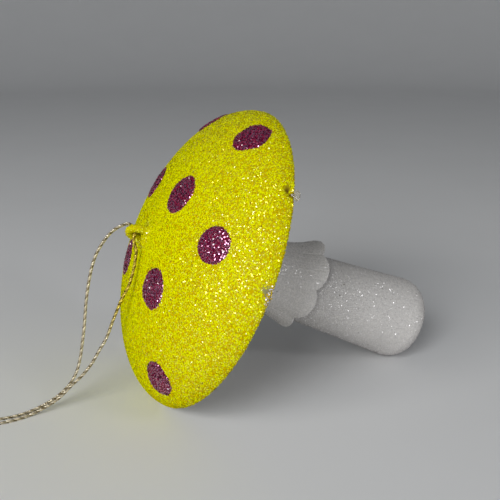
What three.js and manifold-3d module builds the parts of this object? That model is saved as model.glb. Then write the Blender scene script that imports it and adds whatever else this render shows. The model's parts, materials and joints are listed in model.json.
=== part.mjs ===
import * as THREE from 'three';
import { mergeVertices } from 'three/addons/utils/BufferGeometryUtils.js';
import Module from 'manifold-3d';

// A glittered mushroom tree ornament lying on its side, in millimetres with +Z up.
// The pieces are drawn upright, with the cap's rim plane at z = 0 and its apex towards +Z.
// The ornament is then laid on its rim and the foot of its stem, with the stem towards +X.

// Gap that neighbouring pieces keep from each other.
const CLEARANCE = 0.3;

// Cap: a thin moulded dome whose section is a superellipse.
const CAP_RADIUS = 45;
const CAP_HEIGHT = 21;
const CAP_FULLNESS = 1.89;
const CAP_WALL = 1.8;
const CAP_SIDES = 48;
const CAP_RINGS = 12;

// Underside: a gilled plate set into the rim, with a collar that holds the stem.
const PLATE_RECESS = 1.1;
const PLATE_THICKNESS = 1.6;
const GILL_COUNT = 40;
const GILL_DEPTH = 0.8;
const GILL_INNER_RADIUS = 15;
const GILL_FADE = 2.5;
const COLLAR_HEIGHT = 5;
const COLLAR_WALL = 1.6;

// Stem: a hollow moulding that widens towards its foot.
const STEM_NECK_RADIUS = 8.9;
const STEM_FOOT_RADIUS = 13.4;
const STEM_LENGTH = 74.5;
const STEM_WALL = 1.8;
const STEM_TAPER = 1.1;
const FOOT_ROUND_RADIAL = 3.2;
const FOOT_ROUND_AXIAL = 5.2;
const SPIGOT_STEP = 1.2;
const SPIGOT_REACH = 3;
const STEM_SIDES = 24;
const STEM_RINGS = 7;
const FOOT_RINGS = 5;

// Glue: the ring round the stem's spigot and the bead squeezed out at the rim.
const NECK_GLUE_WIDTH = 2.2;
const NECK_GLUE_HEIGHT = 1.8;
const RIM_BEAD_AZIMUTH = -53;
const RIM_BEAD_THICKNESS = 1.4;
const RIM_BEAD_LENGTH = 3.2;
const RIM_BEAD_HEIGHT = 1.6;

// Skirt: a frilled ring that hangs round the stem under the cap.
const SKIRT_DROP = 31;
const SKIRT_WALL = 1.2;
const SKIRT_FLARE = 1.6;
const SKIRT_FOLDS = 7;
const SKIRT_FOLD_DEPTH = 0.8;
const SKIRT_FOLD_TURN = 2;
const SKIRT_HEM_WAVE = 0.7;
const SKIRT_HEM_SLANT = 1.6;
const SKIRT_COLUMNS = 56;
const SKIRT_RINGS = 7;

// Eyelet: a moulded arch on a low base, held by a washer inside the cap.
const EYELET_WIRE_RADIUS = 1.05;
const EYELET_WIRE_SIDES = 10;
const EYELET_HOLE_RADIUS = 1.3;
const EYELET_CENTRE_RISE = 2.2;
const EYELET_TURN = 42;
const EYELET_ARCH_STEP = 0.75;
const EYELET_BASE_RADIUS = 3.7;
const EYELET_BASE_TOP_RADIUS = 2.9;
const EYELET_BASE_HEIGHT = 0.7;
const EYELET_SHANK_RADIUS = 1.8;
const EYELET_SHANK_END = 0.8;
const WASHER_RADIUS = 4.6;
const WASHER_THICKNESS = 1.4;

// Spots: thin glittered discs on the dome. Reach is the share of the way from the axis to the rim.
// Azimuth 0 is the side that faces up as the ornament lies, and -90 the side in front.
const SPOT_THICKNESS = 0.35;
const SPOT_SIDES = 20;
const SPOTS = [
  { reach: 0.409, azimuth: -33, diameter: 11.4 },
  { reach: 0.467, azimuth: 49, diameter: 10.4 },
  { reach: 0.344, azimuth: 131, diameter: 11 },
  { reach: 0.429, azimuth: -122, diameter: 11.2 },
  { reach: 0.896, azimuth: -24, diameter: 10.6 },
  { reach: 0.733, azimuth: -75, diameter: 10 },
  { reach: 0.871, azimuth: -146, diameter: 10.4 },
  { reach: 0.9, azimuth: 24, diameter: 10.6 },
  { reach: 0.889, azimuth: 70, diameter: 10.6 },
  { reach: 0.844, azimuth: 102, diameter: 11 },
  { reach: 0.9, azimuth: 133, diameter: 10.2 },
];

// Hanging cord: a doubled cord through the eyelet, knotted at its far end.
// The legs' points lie in the laid-down ornament, from the middle of the eyelet's beam.
const CORD_RADIUS = 0.45;
const CORD_SIDES = 8;
const CORD_TURN_FRONT_RUN = 3;
const CORD_TURN_REAR_RUN = 0.5;
const CORD_TURN_STEP = 0.65;
const CORD_LEG_STEP = 3.1;
const CORD_FRONT_POINTS = [
  [1.1, -3.3, -5], [0.5, -4.4, -7.4], [-0.74, -5.5, -11.1], [-2.19, -5.8, -14.7],
  [-4.35, -5.2, -18.7], [-5.35, -4.3, -21.6], [-6.66, -3.1, -25.4], [-8.53, -1.8, -30.8],
  [-10.75, -0.9, -34.9], [-13.27, -0.6, -39], [-16, -0.7, -41.9], [-18.9, -0.8, -44.2],
  [-23.4, -1, -47.9], [-26.9, -1.2, -49.6], [-31, -1.8, -50.8], [-35.2, -2.9, -50.95],
  [-39.1, -3.3, -50.95], [-45, -2.9, -50.95], [-52, -1.9, -50.95], [-60, -0.9, -50.95],
  [-68, -0.7, -50.9], [-76, -0.7, -50.6],
];
const CORD_REAR_POINTS = [
  [-2.1, 1.2, 1], [-4.3, 1.1, -0.1], [-7.1, 0.9, -2.8], [-9.3, 0.9, -6.1],
  [-10.7, 0.8, -9.4], [-11.7, 0.8, -12.9], [-12.6, 0.8, -16.9], [-13.4, 0.8, -21.7],
  [-14.1, 0.8, -27], [-15, 0.8, -32.3], [-16, 0.8, -37.2], [-17.3, 0.8, -41.2],
  [-19.2, 0.7, -44.3], [-23.4, 0.6, -47.9], [-26.9, 0.5, -49.6], [-31, 0.2, -50.8],
  [-35.2, -0.8, -50.95], [-39.1, -0.9, -50.95], [-45, -0.4, -50.95], [-52, 0.5, -50.95],
  [-60, 0.9, -50.95], [-68, 0.7, -50.9], [-76, 0.7, -50.6],
];
const KNOT_CENTRE = [-78.6, 0, -50.2];
const KNOT_LENGTH = 4.4;
const KNOT_WIDTH = 3.2;
const KNOT_HEIGHT = 2.4;
const KNOT_TAIL_LENGTH = 6.5;
const KNOT_TAIL_SPREAD = 1.6;
const KNOT_TAIL_DROP = 0.5;
const KNOT_TAIL_STEP = 2;

const wasm = await Module();
wasm.setup();

const radians = THREE.MathUtils.degToRad;

// Plain solid: only corners and faces, each corner stored once.
function plain(geometry) {
  geometry.deleteAttribute('normal');
  geometry.deleteAttribute('uv');
  return mergeVertices(geometry, 1e-5);
}

// Solid turned round Z from points of radius and height; a flat side faces -X, +X, -Y and +Y.
function turned(points, sides) {
  const profile = points.map(([radius, height]) => new THREE.Vector2(radius, height));
  const lathe = new THREE.LatheGeometry(profile, sides, Math.PI / sides);
  return plain(lathe.rotateX(Math.PI / 2));
}

// Ring-shaped solid: row i runs along the section's closed outline, column j round the axis.
function ringSolid(rows, columns, point) {
  const positions = [];
  const faces = [];
  for (let i = 0; i < rows; i += 1) {
    for (let j = 0; j < columns; j += 1) {
      const nextRow = ((i + 1) % rows) * columns;
      const nextColumn = (j + 1) % columns;
      const here = i * columns + j;
      const across = i * columns + nextColumn;
      positions.push(...point(i, (2 * Math.PI * j) / columns));
      faces.push(here, across, nextRow + j, across, nextRow + nextColumn, nextRow + j);
    }
  }
  const geometry = new THREE.BufferGeometry();
  geometry.setAttribute('position', new THREE.Float32BufferAttribute(positions, 3));
  geometry.setIndex(faces);
  return geometry;
}

// Several overlapping solids joined into one.
function joined(solids) {
  const parts = solids.map((solid) => new wasm.Manifold(new wasm.Mesh({
    numProp: 3,
    vertProperties: new Float32Array(solid.attributes.position.array),
    triVerts: new Uint32Array(solid.index.array),
  })));
  const mesh = wasm.Manifold.union(parts).getMesh();
  const geometry = new THREE.BufferGeometry();
  geometry.setAttribute('position', new THREE.Float32BufferAttribute(mesh.vertProperties, 3));
  geometry.setIndex([...mesh.triVerts]);
  return geometry;
}

// Round bar along a smooth curve through the points, closed at both ends.
function barAlong(points, radius, sides, step) {
  const section = new THREE.Shape();
  for (let k = 0; k < sides; k += 1) {
    const angle = (2 * Math.PI * k) / sides;
    const x = radius * Math.cos(angle);
    const y = radius * Math.sin(angle);
    if (k === 0) section.moveTo(x, y);
    else section.lineTo(x, y);
  }
  section.closePath();
  const extrudePath = new THREE.CatmullRomCurve3(points, false, 'centripetal');
  const steps = Math.max(2, Math.round(extrudePath.getLength() / step));
  return plain(new THREE.ExtrudeGeometry(section, { steps, extrudePath, bevelEnabled: false }));
}

// Height of a dome of the cap's fullness at a distance from its axis.
function domeHeight(distance, radius, height) {
  const share = Math.min(distance / radius, 1) ** CAP_FULLNESS;
  return height * (1 - share) ** (1 / CAP_FULLNESS);
}

const outerHeight = (distance) => domeHeight(distance, CAP_RADIUS, CAP_HEIGHT);
const innerHeight = (distance) => (
  domeHeight(distance, CAP_RADIUS - CAP_WALL, CAP_HEIGHT - CAP_WALL)
);

// Radius of the dome's inner face at a height.
function innerRadius(height) {
  const share = (height / (CAP_HEIGHT - CAP_WALL)) ** CAP_FULLNESS;
  return (CAP_RADIUS - CAP_WALL) * (1 - share) ** (1 / CAP_FULLNESS);
}

// Points of a dome's section from a bore at the apex down to the rim.
function domeSection(radius, bore, heightAt) {
  const start = Math.asin(bore / radius);
  const points = [];
  for (let k = 0; k <= CAP_RINGS; k += 1) {
    const angle = start + ((Math.PI / 2 - start) * k) / CAP_RINGS;
    const distance = radius * Math.sin(angle);
    points.push([distance, k === CAP_RINGS ? 0 : heightAt(distance)]);
  }
  return points;
}

const capBore = EYELET_SHANK_RADIUS + CLEARANCE;
const capOutside = domeSection(CAP_RADIUS, capBore, outerHeight);

function capShell() {
  const inside = domeSection(CAP_RADIUS - CAP_WALL, capBore, innerHeight);
  return turned([...inside, ...capOutside.toReversed(), inside[0]], CAP_SIDES);
}

const plateTop = PLATE_RECESS + PLATE_THICKNESS;
const plateRadius = innerRadius(plateTop) - CLEARANCE;
const spigotRadius = STEM_NECK_RADIUS - SPIGOT_STEP;
const socketRadius = spigotRadius + CLEARANCE;
const collarTop = plateTop + COLLAR_HEIGHT;

function capUnderside() {
  const gillEnd = plateRadius - GILL_FADE;
  const outline = [
    [socketRadius, PLATE_RECESS, 0],
    [GILL_INNER_RADIUS, PLATE_RECESS, 0],
    [GILL_INNER_RADIUS + GILL_FADE, PLATE_RECESS, 1],
    [gillEnd, PLATE_RECESS, 1],
    [plateRadius, PLATE_RECESS, 0],
    [plateRadius, plateTop, 0],
    [socketRadius + COLLAR_WALL, plateTop, 0],
    [socketRadius + COLLAR_WALL, collarTop, 0],
    [socketRadius, collarTop, 0],
  ];
  return ringSolid(outline.length, 2 * GILL_COUNT, (i, angle) => {
    const [radius, height, gill] = outline[i];
    const ridge = (1 + Math.cos(GILL_COUNT * angle)) / 2;
    const z = height - GILL_DEPTH * gill * ridge;
    return [radius * Math.cos(angle), radius * Math.sin(angle), z];
  });
}

const stemTop = PLATE_RECESS - CLEARANCE;
const spigotTop = collarTop + SPIGOT_REACH;
const taperEnd = FOOT_ROUND_AXIAL - STEM_LENGTH;

function stemRadius(z) {
  const share = THREE.MathUtils.clamp((stemTop - z) / (stemTop - taperEnd), 0, 1);
  return STEM_NECK_RADIUS + (STEM_FOOT_RADIUS - STEM_NECK_RADIUS) * share ** STEM_TAPER;
}

// Outside of the stem from the middle of its foot up to the shoulder under the plate.
function stemOutside() {
  const points = [[0, -STEM_LENGTH]];
  for (let k = 0; k <= FOOT_RINGS; k += 1) {
    const angle = ((Math.PI / 2) * k) / FOOT_RINGS;
    const radius = STEM_FOOT_RADIUS - FOOT_ROUND_RADIAL * (1 - Math.sin(angle));
    points.push([radius, taperEnd - FOOT_ROUND_AXIAL * Math.cos(angle)]);
  }
  for (let k = 1; k <= STEM_RINGS; k += 1) {
    const z = taperEnd + ((stemTop - taperEnd) * k) / STEM_RINGS;
    points.push([stemRadius(z), z]);
  }
  return points;
}

function stem() {
  const bore = [[spigotRadius - STEM_WALL, spigotTop], [spigotRadius - STEM_WALL, stemTop]];
  for (let k = STEM_RINGS - 1; k >= 0; k -= 1) {
    const z = taperEnd + ((stemTop - taperEnd) * k) / STEM_RINGS;
    bore.push([stemRadius(z) - STEM_WALL, z]);
  }
  bore.push([STEM_FOOT_RADIUS - FOOT_ROUND_RADIAL - STEM_WALL, STEM_WALL - STEM_LENGTH]);
  bore.push([0, STEM_WALL - STEM_LENGTH]);
  const spigot = [[spigotRadius, stemTop], [spigotRadius, spigotTop]];
  return turned([...stemOutside(), ...spigot, ...bore], STEM_SIDES);
}

function neckGlue() {
  const inside = spigotRadius + CLEARANCE;
  const seat = collarTop + CLEARANCE;
  const outline = [
    [inside, seat],
    [inside + NECK_GLUE_WIDTH, seat],
    [inside + 0.8 * NECK_GLUE_WIDTH, seat + 0.5 * NECK_GLUE_HEIGHT],
    [inside, seat + NECK_GLUE_HEIGHT],
    [inside, seat],
  ];
  return turned(outline, STEM_SIDES);
}

// The bead's long side runs along the rim.
function rimGlueBead() {
  const bead = new THREE.SphereGeometry(0.5, 14, 10);
  bead.scale(RIM_BEAD_THICKNESS, RIM_BEAD_LENGTH, RIM_BEAD_HEIGHT);
  bead.translate(CAP_RADIUS + CLEARANCE + RIM_BEAD_THICKNESS / 2, 0, 0);
  return plain(bead.rotateZ(radians(RIM_BEAD_AZIMUTH)));
}

// The skirt follows the stem's taper at its top and flares into folds at its hem.
function stemSkirt() {
  const rows = 2 * (SKIRT_RINGS + 1);
  return ringSolid(rows, SKIRT_COLUMNS, (i, angle) => {
    const outside = i > SKIRT_RINGS;
    const share = (outside ? rows - 1 - i : i) / SKIRT_RINGS;
    const fold = Math.cos(SKIRT_FOLDS * (angle + radians(SKIRT_FOLD_TURN)));
    const hem = SKIRT_DROP + SKIRT_HEM_SLANT * Math.cos(angle) + SKIRT_HEM_WAVE * fold;
    const z = stemTop - (stemTop + hem) * share;
    const flare = share ** 2 * (SKIRT_FLARE + SKIRT_FOLD_DEPTH * fold);
    const radius = stemRadius(z) + CLEARANCE + flare + (outside ? SKIRT_WALL : 0);
    return [radius * Math.cos(angle), radius * Math.sin(angle), z];
  });
}

const eyeletRing = EYELET_HOLE_RADIUS + EYELET_WIRE_RADIUS;
const eyeletCentre = CAP_HEIGHT + EYELET_CENTRE_RISE;
const beamHeight = eyeletCentre + eyeletRing;
const washerTop = innerHeight(WASHER_RADIUS) - CLEARANCE;
const shankEnd = washerTop - WASHER_THICKNESS - EYELET_SHANK_END;

// The arch stands on the base with both feet sunk into it and is turned about the axis.
function hangerEyelet() {
  const seat = CAP_HEIGHT + CLEARANCE;
  const foot = seat + EYELET_BASE_HEIGHT / 4;
  const arch = [new THREE.Vector3(0, -eyeletRing, foot)];
  for (let angle = 0; angle <= 180; angle += 22.5) {
    const across = -eyeletRing * Math.cos(radians(angle));
    const rise = eyeletRing * Math.sin(radians(angle));
    arch.push(new THREE.Vector3(0, across, eyeletCentre + rise));
  }
  arch.push(new THREE.Vector3(0, eyeletRing, foot));
  const wire = barAlong(arch, EYELET_WIRE_RADIUS, EYELET_WIRE_SIDES, EYELET_ARCH_STEP);
  const base = turned([
    [0, shankEnd],
    [EYELET_SHANK_RADIUS, shankEnd],
    [EYELET_SHANK_RADIUS, seat],
    [EYELET_BASE_RADIUS, seat],
    [EYELET_BASE_TOP_RADIUS, seat + EYELET_BASE_HEIGHT],
    [0, seat + EYELET_BASE_HEIGHT],
  ], STEM_SIDES);
  return joined([wire.rotateZ(radians(EYELET_TURN)), base]);
}

function eyeletWasher() {
  const inside = EYELET_SHANK_RADIUS + CLEARANCE;
  const outline = [
    [inside, washerTop - WASHER_THICKNESS],
    [WASHER_RADIUS, washerTop - WASHER_THICKNESS],
    [WASHER_RADIUS, washerTop],
    [inside, washerTop],
    [inside, washerTop - WASHER_THICKNESS],
  ];
  return turned(outline, STEM_SIDES);
}

// How far along the direction a point lies from the dome's outer face.
function dropToDome(point, direction) {
  let low = -CAP_HEIGHT;
  let high = CAP_HEIGHT;
  const probe = new THREE.Vector3();
  for (let k = 0; k < 40; k += 1) {
    const middle = (low + high) / 2;
    probe.copy(point).addScaledVector(direction, middle);
    const across = (Math.hypot(probe.x, probe.y) / CAP_RADIUS) ** CAP_FULLNESS;
    const along = (Math.max(probe.z, 0) / CAP_HEIGHT) ** CAP_FULLNESS;
    if (across + along > 1) high = middle;
    else low = middle;
  }
  return low;
}

// A thin disc pressed onto the dome round its own middle.
function glitterSpot({ reach, azimuth, diameter }) {
  const distance = reach * CAP_RADIUS;
  const radius = diameter / 2;
  const disc = turned([
    [0, 0],
    [0.6 * radius, 0],
    [radius, 0],
    [radius, SPOT_THICKNESS],
    [0.6 * radius, SPOT_THICKNESS],
    [0, SPOT_THICKNESS],
  ], SPOT_SIDES);
  const middle = new THREE.Vector3(distance, 0, outerHeight(distance));
  const out = new THREE.Vector3(
    distance ** (CAP_FULLNESS - 1) / CAP_RADIUS ** CAP_FULLNESS,
    0,
    middle.z ** (CAP_FULLNESS - 1) / CAP_HEIGHT ** CAP_FULLNESS,
  ).normalize();
  const slope = new THREE.Vector3(out.z, 0, -out.x);
  const side = new THREE.Vector3().crossVectors(out, slope);
  const places = disc.attributes.position;
  const place = new THREE.Vector3();
  for (let k = 0; k < places.count; k += 1) {
    const lift = places.getZ(k) + CLEARANCE;
    place.copy(middle);
    place.addScaledVector(slope, places.getX(k)).addScaledVector(side, places.getY(k));
    place.addScaledVector(out, dropToDome(place, out) + lift);
    places.setXYZ(k, place.x, place.y, place.z);
  }
  return disc.rotateZ(radians(azimuth));
}

// Tilt at which the cap's rim and the stem's foot both touch the surface underneath.
function restingTilt() {
  const rim = capOutside.map(([r, z]) => [r * Math.cos(Math.PI / CAP_SIDES), z]);
  const foot = stemOutside().map(([r, z]) => [r * Math.cos(Math.PI / STEM_SIDES), z]);
  const lowest = (points, tilt) => Math.min(
    ...points.map(([r, z]) => z * Math.sin(tilt) - r * Math.cos(tilt)),
  );
  let low = 0;
  let high = Math.PI / 2;
  for (let k = 0; k < 50; k += 1) {
    const middle = (low + high) / 2;
    if (lowest(rim, middle) < lowest(foot, middle)) low = middle;
    else high = middle;
  }
  return low;
}

function piece(name, geometry, colour, roughness, metalness = 0) {
  const flat = geometry.toNonIndexed();
  flat.computeVertexNormals();
  const material = new THREE.MeshStandardMaterial({ color: colour, roughness, metalness });
  const mesh = new THREE.Mesh(flat, material);
  mesh.name = name;
  return mesh;
}

const YELLOW = '#d9b321';
const PLUM = '#6e2a4a';
const WHITE = '#eceae6';
const CLEAR_GLUE = '#d8d6c8';
const GOLD = '#b8954f';

const ornament = new THREE.Group();
ornament.name = 'ornament';
ornament.add(
  piece('cap_shell', capShell(), YELLOW, 0.45),
  piece('cap_underside', capUnderside(), WHITE, 0.6),
  piece('stem', stem(), WHITE, 0.55),
  piece('stem_skirt', stemSkirt(), WHITE, 0.6),
  piece('neck_glue', neckGlue(), CLEAR_GLUE, 0.3),
  piece('rim_glue_bead', rimGlueBead(), CLEAR_GLUE, 0.2),
  piece('hanger_eyelet', hangerEyelet(), YELLOW, 0.45),
  piece('eyelet_washer', eyeletWasher(), WHITE, 0.5),
);
SPOTS.forEach((spot, k) => {
  const name = `glitter_spot_${String(k + 1).padStart(2, '0')}`;
  ornament.add(piece(name, glitterSpot(spot), PLUM, 0.45));
});

// Laid down: the axis leans by the resting tilt and the box stands on z = 0 round the origin.
const tilt = restingTilt();
ornament.rotation.y = tilt - Math.PI / 2;
ornament.updateMatrixWorld(true);
const box = new THREE.Box3().setFromObject(ornament, true);
ornament.position.set(-(box.min.x + box.max.x) / 2, -(box.min.y + box.max.y) / 2, -box.min.z);
ornament.updateMatrixWorld(true);

// The cord turns round the beam, the top of the eyelet's ring, and hangs from there.
const beam = ornament.localToWorld(new THREE.Vector3(0, 0, beamHeight));
const outward = new THREE.Vector3(-Math.cos(tilt), 0, Math.sin(tilt));
const upward = new THREE.Vector3(Math.sin(tilt), 0, Math.cos(tilt));
const through = upward.multiplyScalar(Math.cos(radians(EYELET_TURN)))
  .add(new THREE.Vector3(0, Math.sin(radians(EYELET_TURN)), 0));
const bend = EYELET_WIRE_RADIUS + CLEARANCE + CORD_RADIUS;

// Point beside the beam, by its distances along the axis and through the hole.
function besideBeam(along, across) {
  return beam.clone().addScaledVector(outward, along).addScaledVector(through, across);
}

const fromBeam = (points) => points.map((point) => new THREE.Vector3(...point).add(beam));

function cordTurn() {
  const points = [besideBeam(-bend, -CORD_TURN_FRONT_RUN)];
  points.push(besideBeam(-bend, -CORD_TURN_FRONT_RUN / 2));
  for (let k = 0; k <= 4; k += 1) {
    const angle = ((Math.PI / 2) * k) / 4;
    points.push(besideBeam(-bend * Math.cos(angle), bend * Math.sin(angle)));
  }
  points.push(besideBeam(CORD_TURN_REAR_RUN, bend));
  return barAlong(points, CORD_RADIUS, CORD_SIDES, CORD_TURN_STEP);
}

// Each leg starts in line with the turn's end, a clearance away from it.
function cordFrontLeg() {
  const starts = [1, 2].map((gaps) => besideBeam(-bend, -CORD_TURN_FRONT_RUN - gaps * CLEARANCE));
  const points = [...starts, ...fromBeam(CORD_FRONT_POINTS)];
  return barAlong(points, CORD_RADIUS, CORD_SIDES, CORD_LEG_STEP);
}

function cordRearLeg() {
  const starts = [1, 2].map((gaps) => besideBeam(CORD_TURN_REAR_RUN + gaps * CLEARANCE, bend));
  const points = [...starts, ...fromBeam(CORD_REAR_POINTS)];
  return barAlong(points, CORD_RADIUS, CORD_SIDES, CORD_LEG_STEP);
}

function cordKnot() {
  const [middle] = fromBeam([KNOT_CENTRE]);
  const ball = new THREE.SphereGeometry(0.5, 14, 10);
  ball.scale(KNOT_LENGTH, KNOT_WIDTH, KNOT_HEIGHT).translate(...middle.toArray());
  const tails = [-1, 1].map((side) => {
    const points = [0, 0.5, 1].map((share) => new THREE.Vector3(
      middle.x - KNOT_LENGTH / 4 - (KNOT_TAIL_LENGTH + KNOT_LENGTH / 4) * share,
      middle.y + side * (1.2 * CORD_RADIUS + KNOT_TAIL_SPREAD * share),
      middle.z - KNOT_TAIL_DROP * Math.min(2 * share, 1),
    ));
    return barAlong(points, CORD_RADIUS, CORD_SIDES, KNOT_TAIL_STEP);
  });
  return joined([plain(ball), ...tails]);
}

const part = new THREE.Group();
part.name = 'mushroom_ornament';
part.add(
  ornament,
  piece('cord_turn', cordTurn(), GOLD, 0.4, 0.5),
  piece('cord_front_leg', cordFrontLeg(), GOLD, 0.4, 0.5),
  piece('cord_rear_leg', cordRearLeg(), GOLD, 0.4, 0.5),
  piece('cord_knot', cordKnot(), GOLD, 0.4, 0.5),
);

export default part;
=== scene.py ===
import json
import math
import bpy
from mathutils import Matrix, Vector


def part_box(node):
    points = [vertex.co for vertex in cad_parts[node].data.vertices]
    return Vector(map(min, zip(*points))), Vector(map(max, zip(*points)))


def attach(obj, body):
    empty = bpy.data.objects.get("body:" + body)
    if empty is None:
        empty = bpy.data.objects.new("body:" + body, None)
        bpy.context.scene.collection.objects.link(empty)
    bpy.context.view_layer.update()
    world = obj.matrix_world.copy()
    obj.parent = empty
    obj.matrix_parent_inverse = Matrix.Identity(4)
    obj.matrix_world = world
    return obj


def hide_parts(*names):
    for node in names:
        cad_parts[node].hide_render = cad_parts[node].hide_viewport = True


bl_info = {
    "name": "Mushroom Ornament",
    "version": (1, 0, 0),
    "blender": (4, 5, 0),
    "location": "View3D > Sidebar > Ornament",
    "description": "Dresses the packed mushroom ornament in glitter, frosting, glue and cord",
    "category": "Object",
}

from collections import namedtuple

import bmesh
import bpy
import numpy as np
from bpy.props import FloatProperty, FloatVectorProperty, IntProperty, PointerProperty

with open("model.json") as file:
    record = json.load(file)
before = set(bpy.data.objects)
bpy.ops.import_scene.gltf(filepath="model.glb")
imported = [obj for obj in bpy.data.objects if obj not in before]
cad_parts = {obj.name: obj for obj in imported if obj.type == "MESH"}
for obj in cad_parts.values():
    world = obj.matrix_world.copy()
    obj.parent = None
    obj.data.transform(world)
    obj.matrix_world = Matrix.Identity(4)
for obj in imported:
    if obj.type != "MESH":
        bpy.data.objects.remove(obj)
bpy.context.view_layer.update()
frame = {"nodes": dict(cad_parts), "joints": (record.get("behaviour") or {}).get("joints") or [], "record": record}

MM = 0.001

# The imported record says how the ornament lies: its foot, its axis and the pivot of its cord.
# The cap's moulding is smaller than the CAD's cap by the room that its flakes take up.
MOUNTS = {mount["name"]: mount for mount in frame["record"]["mounts"]}
FOOT = np.array(MOUNTS["stem_foot"]["pos_m"])
OUTWARD = -np.array(MOUNTS["stem_foot"]["axis"])
SIDEWAYS = np.array((0.0, 1.0, 0.0))
UPWARD = np.cross(SIDEWAYS, OUTWARD)
BEAM = np.array(frame["joints"][0]["pos_m"])
CAP_LOW, CAP_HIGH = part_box("cap_shell")
FLAKE_ROOM = 0.15 * MM

# Gap that neighbouring CAD pieces keep, and the CAD's sizes of the plate and of the stem's spigot.
CLEARANCE = 0.3 * MM
PLATE_RECESS = 1.1 * MM
PLATE_THICKNESS = 1.6 * MM
COLLAR_HEIGHT = 5 * MM
COLLAR_WALL = 1.6 * MM
SPIGOT_STEP = 1.2 * MM
STEM_TOP = PLATE_RECESS - CLEARANCE

# Plate: its bevelled edge, where the gills start, and over what lengths they rise and run out.
PLATE_BEVEL = 0.3 * MM
GILL_START = 14.5 * MM
GILL_RISE = 4 * MM
GILL_END = 2.5 * MM
GILL_SHARPNESS = 1.5
PLATE_FLAKES = 5000

# Stem: its slow waves, which fade out towards the foot, and painted shade on its lacquer: the whiteness
# at the two ends of a stretch along +X, darker towards the cap, which shades the neck, lighter at the foot.
STEM_WAVE_LENGTH = 12 * MM
STEM_WAVE_HEIGHT = 0.08 * MM
STEM_WAVE_START = 4 * MM
STEM_WAVE_RISE = 12 * MM
SHADE_FROM = 5 * MM
SHADE_TO = 40 * MM
STEM_PAINTED_SHADE = (0.82, 1.14)

# Skirt: the gap to the stem, and how its hem slants, waves, turns, leans and flares.
SKIRT_GAP = 0.05 * MM
HEM_SLANT = 1.6 * MM
HEM_WAVE = 1.6 * MM
HEM_LEAN = 0.8 * MM
FOLD_TURN = math.radians(2)
LOBE_ROUNDNESS = 0.7
FLARE_POWER = 5
PLEAT_DEPTH = 0.02 * MM

# Eyelet: the swelling at the arch's feet, how fast it dies away, how deep the feet reach, and the
# mound's height and how far it is sunk into the cap.
ARCH_SWELL = 0.9 * MM
ARCH_SWELL_FALL = 0.7 * MM
ARCH_FOOT_DEPTH = 0.3 * MM
MOUND_HEIGHT = 0.95 * MM
MOUND_SINK = 0.05 * MM

# Spots: the CAD node's number, the share of the way from the axis to the rim,
# the azimuth in degrees from the side that faces up, and the diameter.
SPOTS = (
    ("01", 0.409, -33, 11.4 * MM),
    ("02", 0.467, 49, 10.4 * MM),
    ("03", 0.344, 131, 11 * MM),
    ("04", 0.429, -122, 11.2 * MM),
    ("05", 0.896, -24, 10.6 * MM),
    ("06", 0.733, -75, 10 * MM),
    ("07", 0.871, -146, 10.4 * MM),
    ("08", 0.9, 24, 10.6 * MM),
    ("09", 0.889, 70, 10.6 * MM),
    ("10", 0.844, 102, 11 * MM),
    ("11", 0.9, 133, 10.2 * MM),
)

# A spot's disc lies this far above the cap. The cap's flakes stop at this share of its radius.
SPOT_SEAT = 0.03 * MM
SPOT_OVERLAP = 0.97

# Flakes on a spot for each square of a flake's width in the square of the spot's radius.
SPOT_COVER = 8.4

# Marks at the rim: azimuth in degrees, distance up the cap from the rim, and radius. The glitter
# is chipped off at one and smeared with glue at another. A fleck of glue sits by the chip.
RimMark = namedtuple("RimMark", ("azimuth", "rise", "radius"))
RIM_CHIP = RimMark(-51.6, 1.7 * MM, 1.6 * MM)
RIM_SMEAR = RimMark(-86, 1.0 * MM, 2.4 * MM)
GLUE_FLECK = RimMark(-52.6, 0.9 * MM, 0)
RIM_BEAD_AZIMUTH = -53
CHIP_DEPTH = 1.0 * MM

# Flakes are gone where the chip has worn them by more than this. In the smear they are gone by
# chance, up to this share of them.
CHIP_WEAR = 0.1
SMEAR_LOSS = 0.75

# Glue: the sizes of the fleck and of the smear outwards, along the rim and up the cap, the flakes
# in the smear, and the height of a lump's slow waves as a share of its radius.
FLECK_SIZE = (0.8 * MM, 0.9 * MM, 1.1 * MM)
SMEAR_SIZE = (0.5 * MM, 5.0 * MM, 1.5 * MM)
SMEAR_FLAKES = 170
GLUE_LUMPINESS = 0.12

# Yellow flakes by shade: their share all over, what it gains where the cap sparkles and where it
# is warm, which paint highlights and warmer light onto the cap, and their width and tilt as shares of the cap's.
YELLOW_MIX = {
    "lemon": (0.6, 0, 0, 1.0, 0.5),
    "light": (0.015, 0.45, 0, 0.75, 1.1),
    "golden": (0.07, 0, 0.35, 1.0, 0.8),
    "bright": (0.008, 0.25, 0, 0.8, 1.1),
    "singed": (0.005, 0, 0, 0.7, 1.0),
}

# Yellow flakes on the eyelet: their shares by shade, and their width as a share of the cap's.
EYELET_SHARES = (0.55, 0.25, 0.1, 0.09, 0.01)
EYELET_WIDTH = 0.85

# Plum flakes by shade: their share, their width as a share of the spots', and their tilt as a
# share of the cap's.
PLUM_MIX = {
    "plum": (0.2, 1.0, 1.0),
    "wine": (0.28, 0.9, 1.7),
    "rose": (0.52, 0.7, 0.8),
}

# Stray flakes in the smear of glue: their shares by shade, their width as a share of the cap's,
# and their tilt.
STRAY_SHARES = {"frost": 0.35, "golden": 0.5, "silver": 0.15}
STRAY_WIDTH = 0.8
STRAY_TILT = math.radians(25)

# Flakes vary in width and lift between these shares of the usual ones. The usual lift off the
# surface is a share of the width.
WIDTH_SPREAD = (0.7, 1.1)
LIFT_SPREAD = (0.6, 1.4)
COARSE_LIFT = 0.22
FINE_LIFT = 0.1

# Fine white flakes: the tilt of the frost in degrees, and the share of specks of dust.
FROST_TILT = 4
DUST_SHARE = 0.001

# Flakes and yarns stay this far above the floor. Points closer than the weld become one, and a
# smooth surface keeps the edges that are sharper than the angle.
FLOOR_GAP = 0.02 * MM
WELD = 0.0005 * MM
SHARP_EDGE = math.radians(50)

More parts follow.
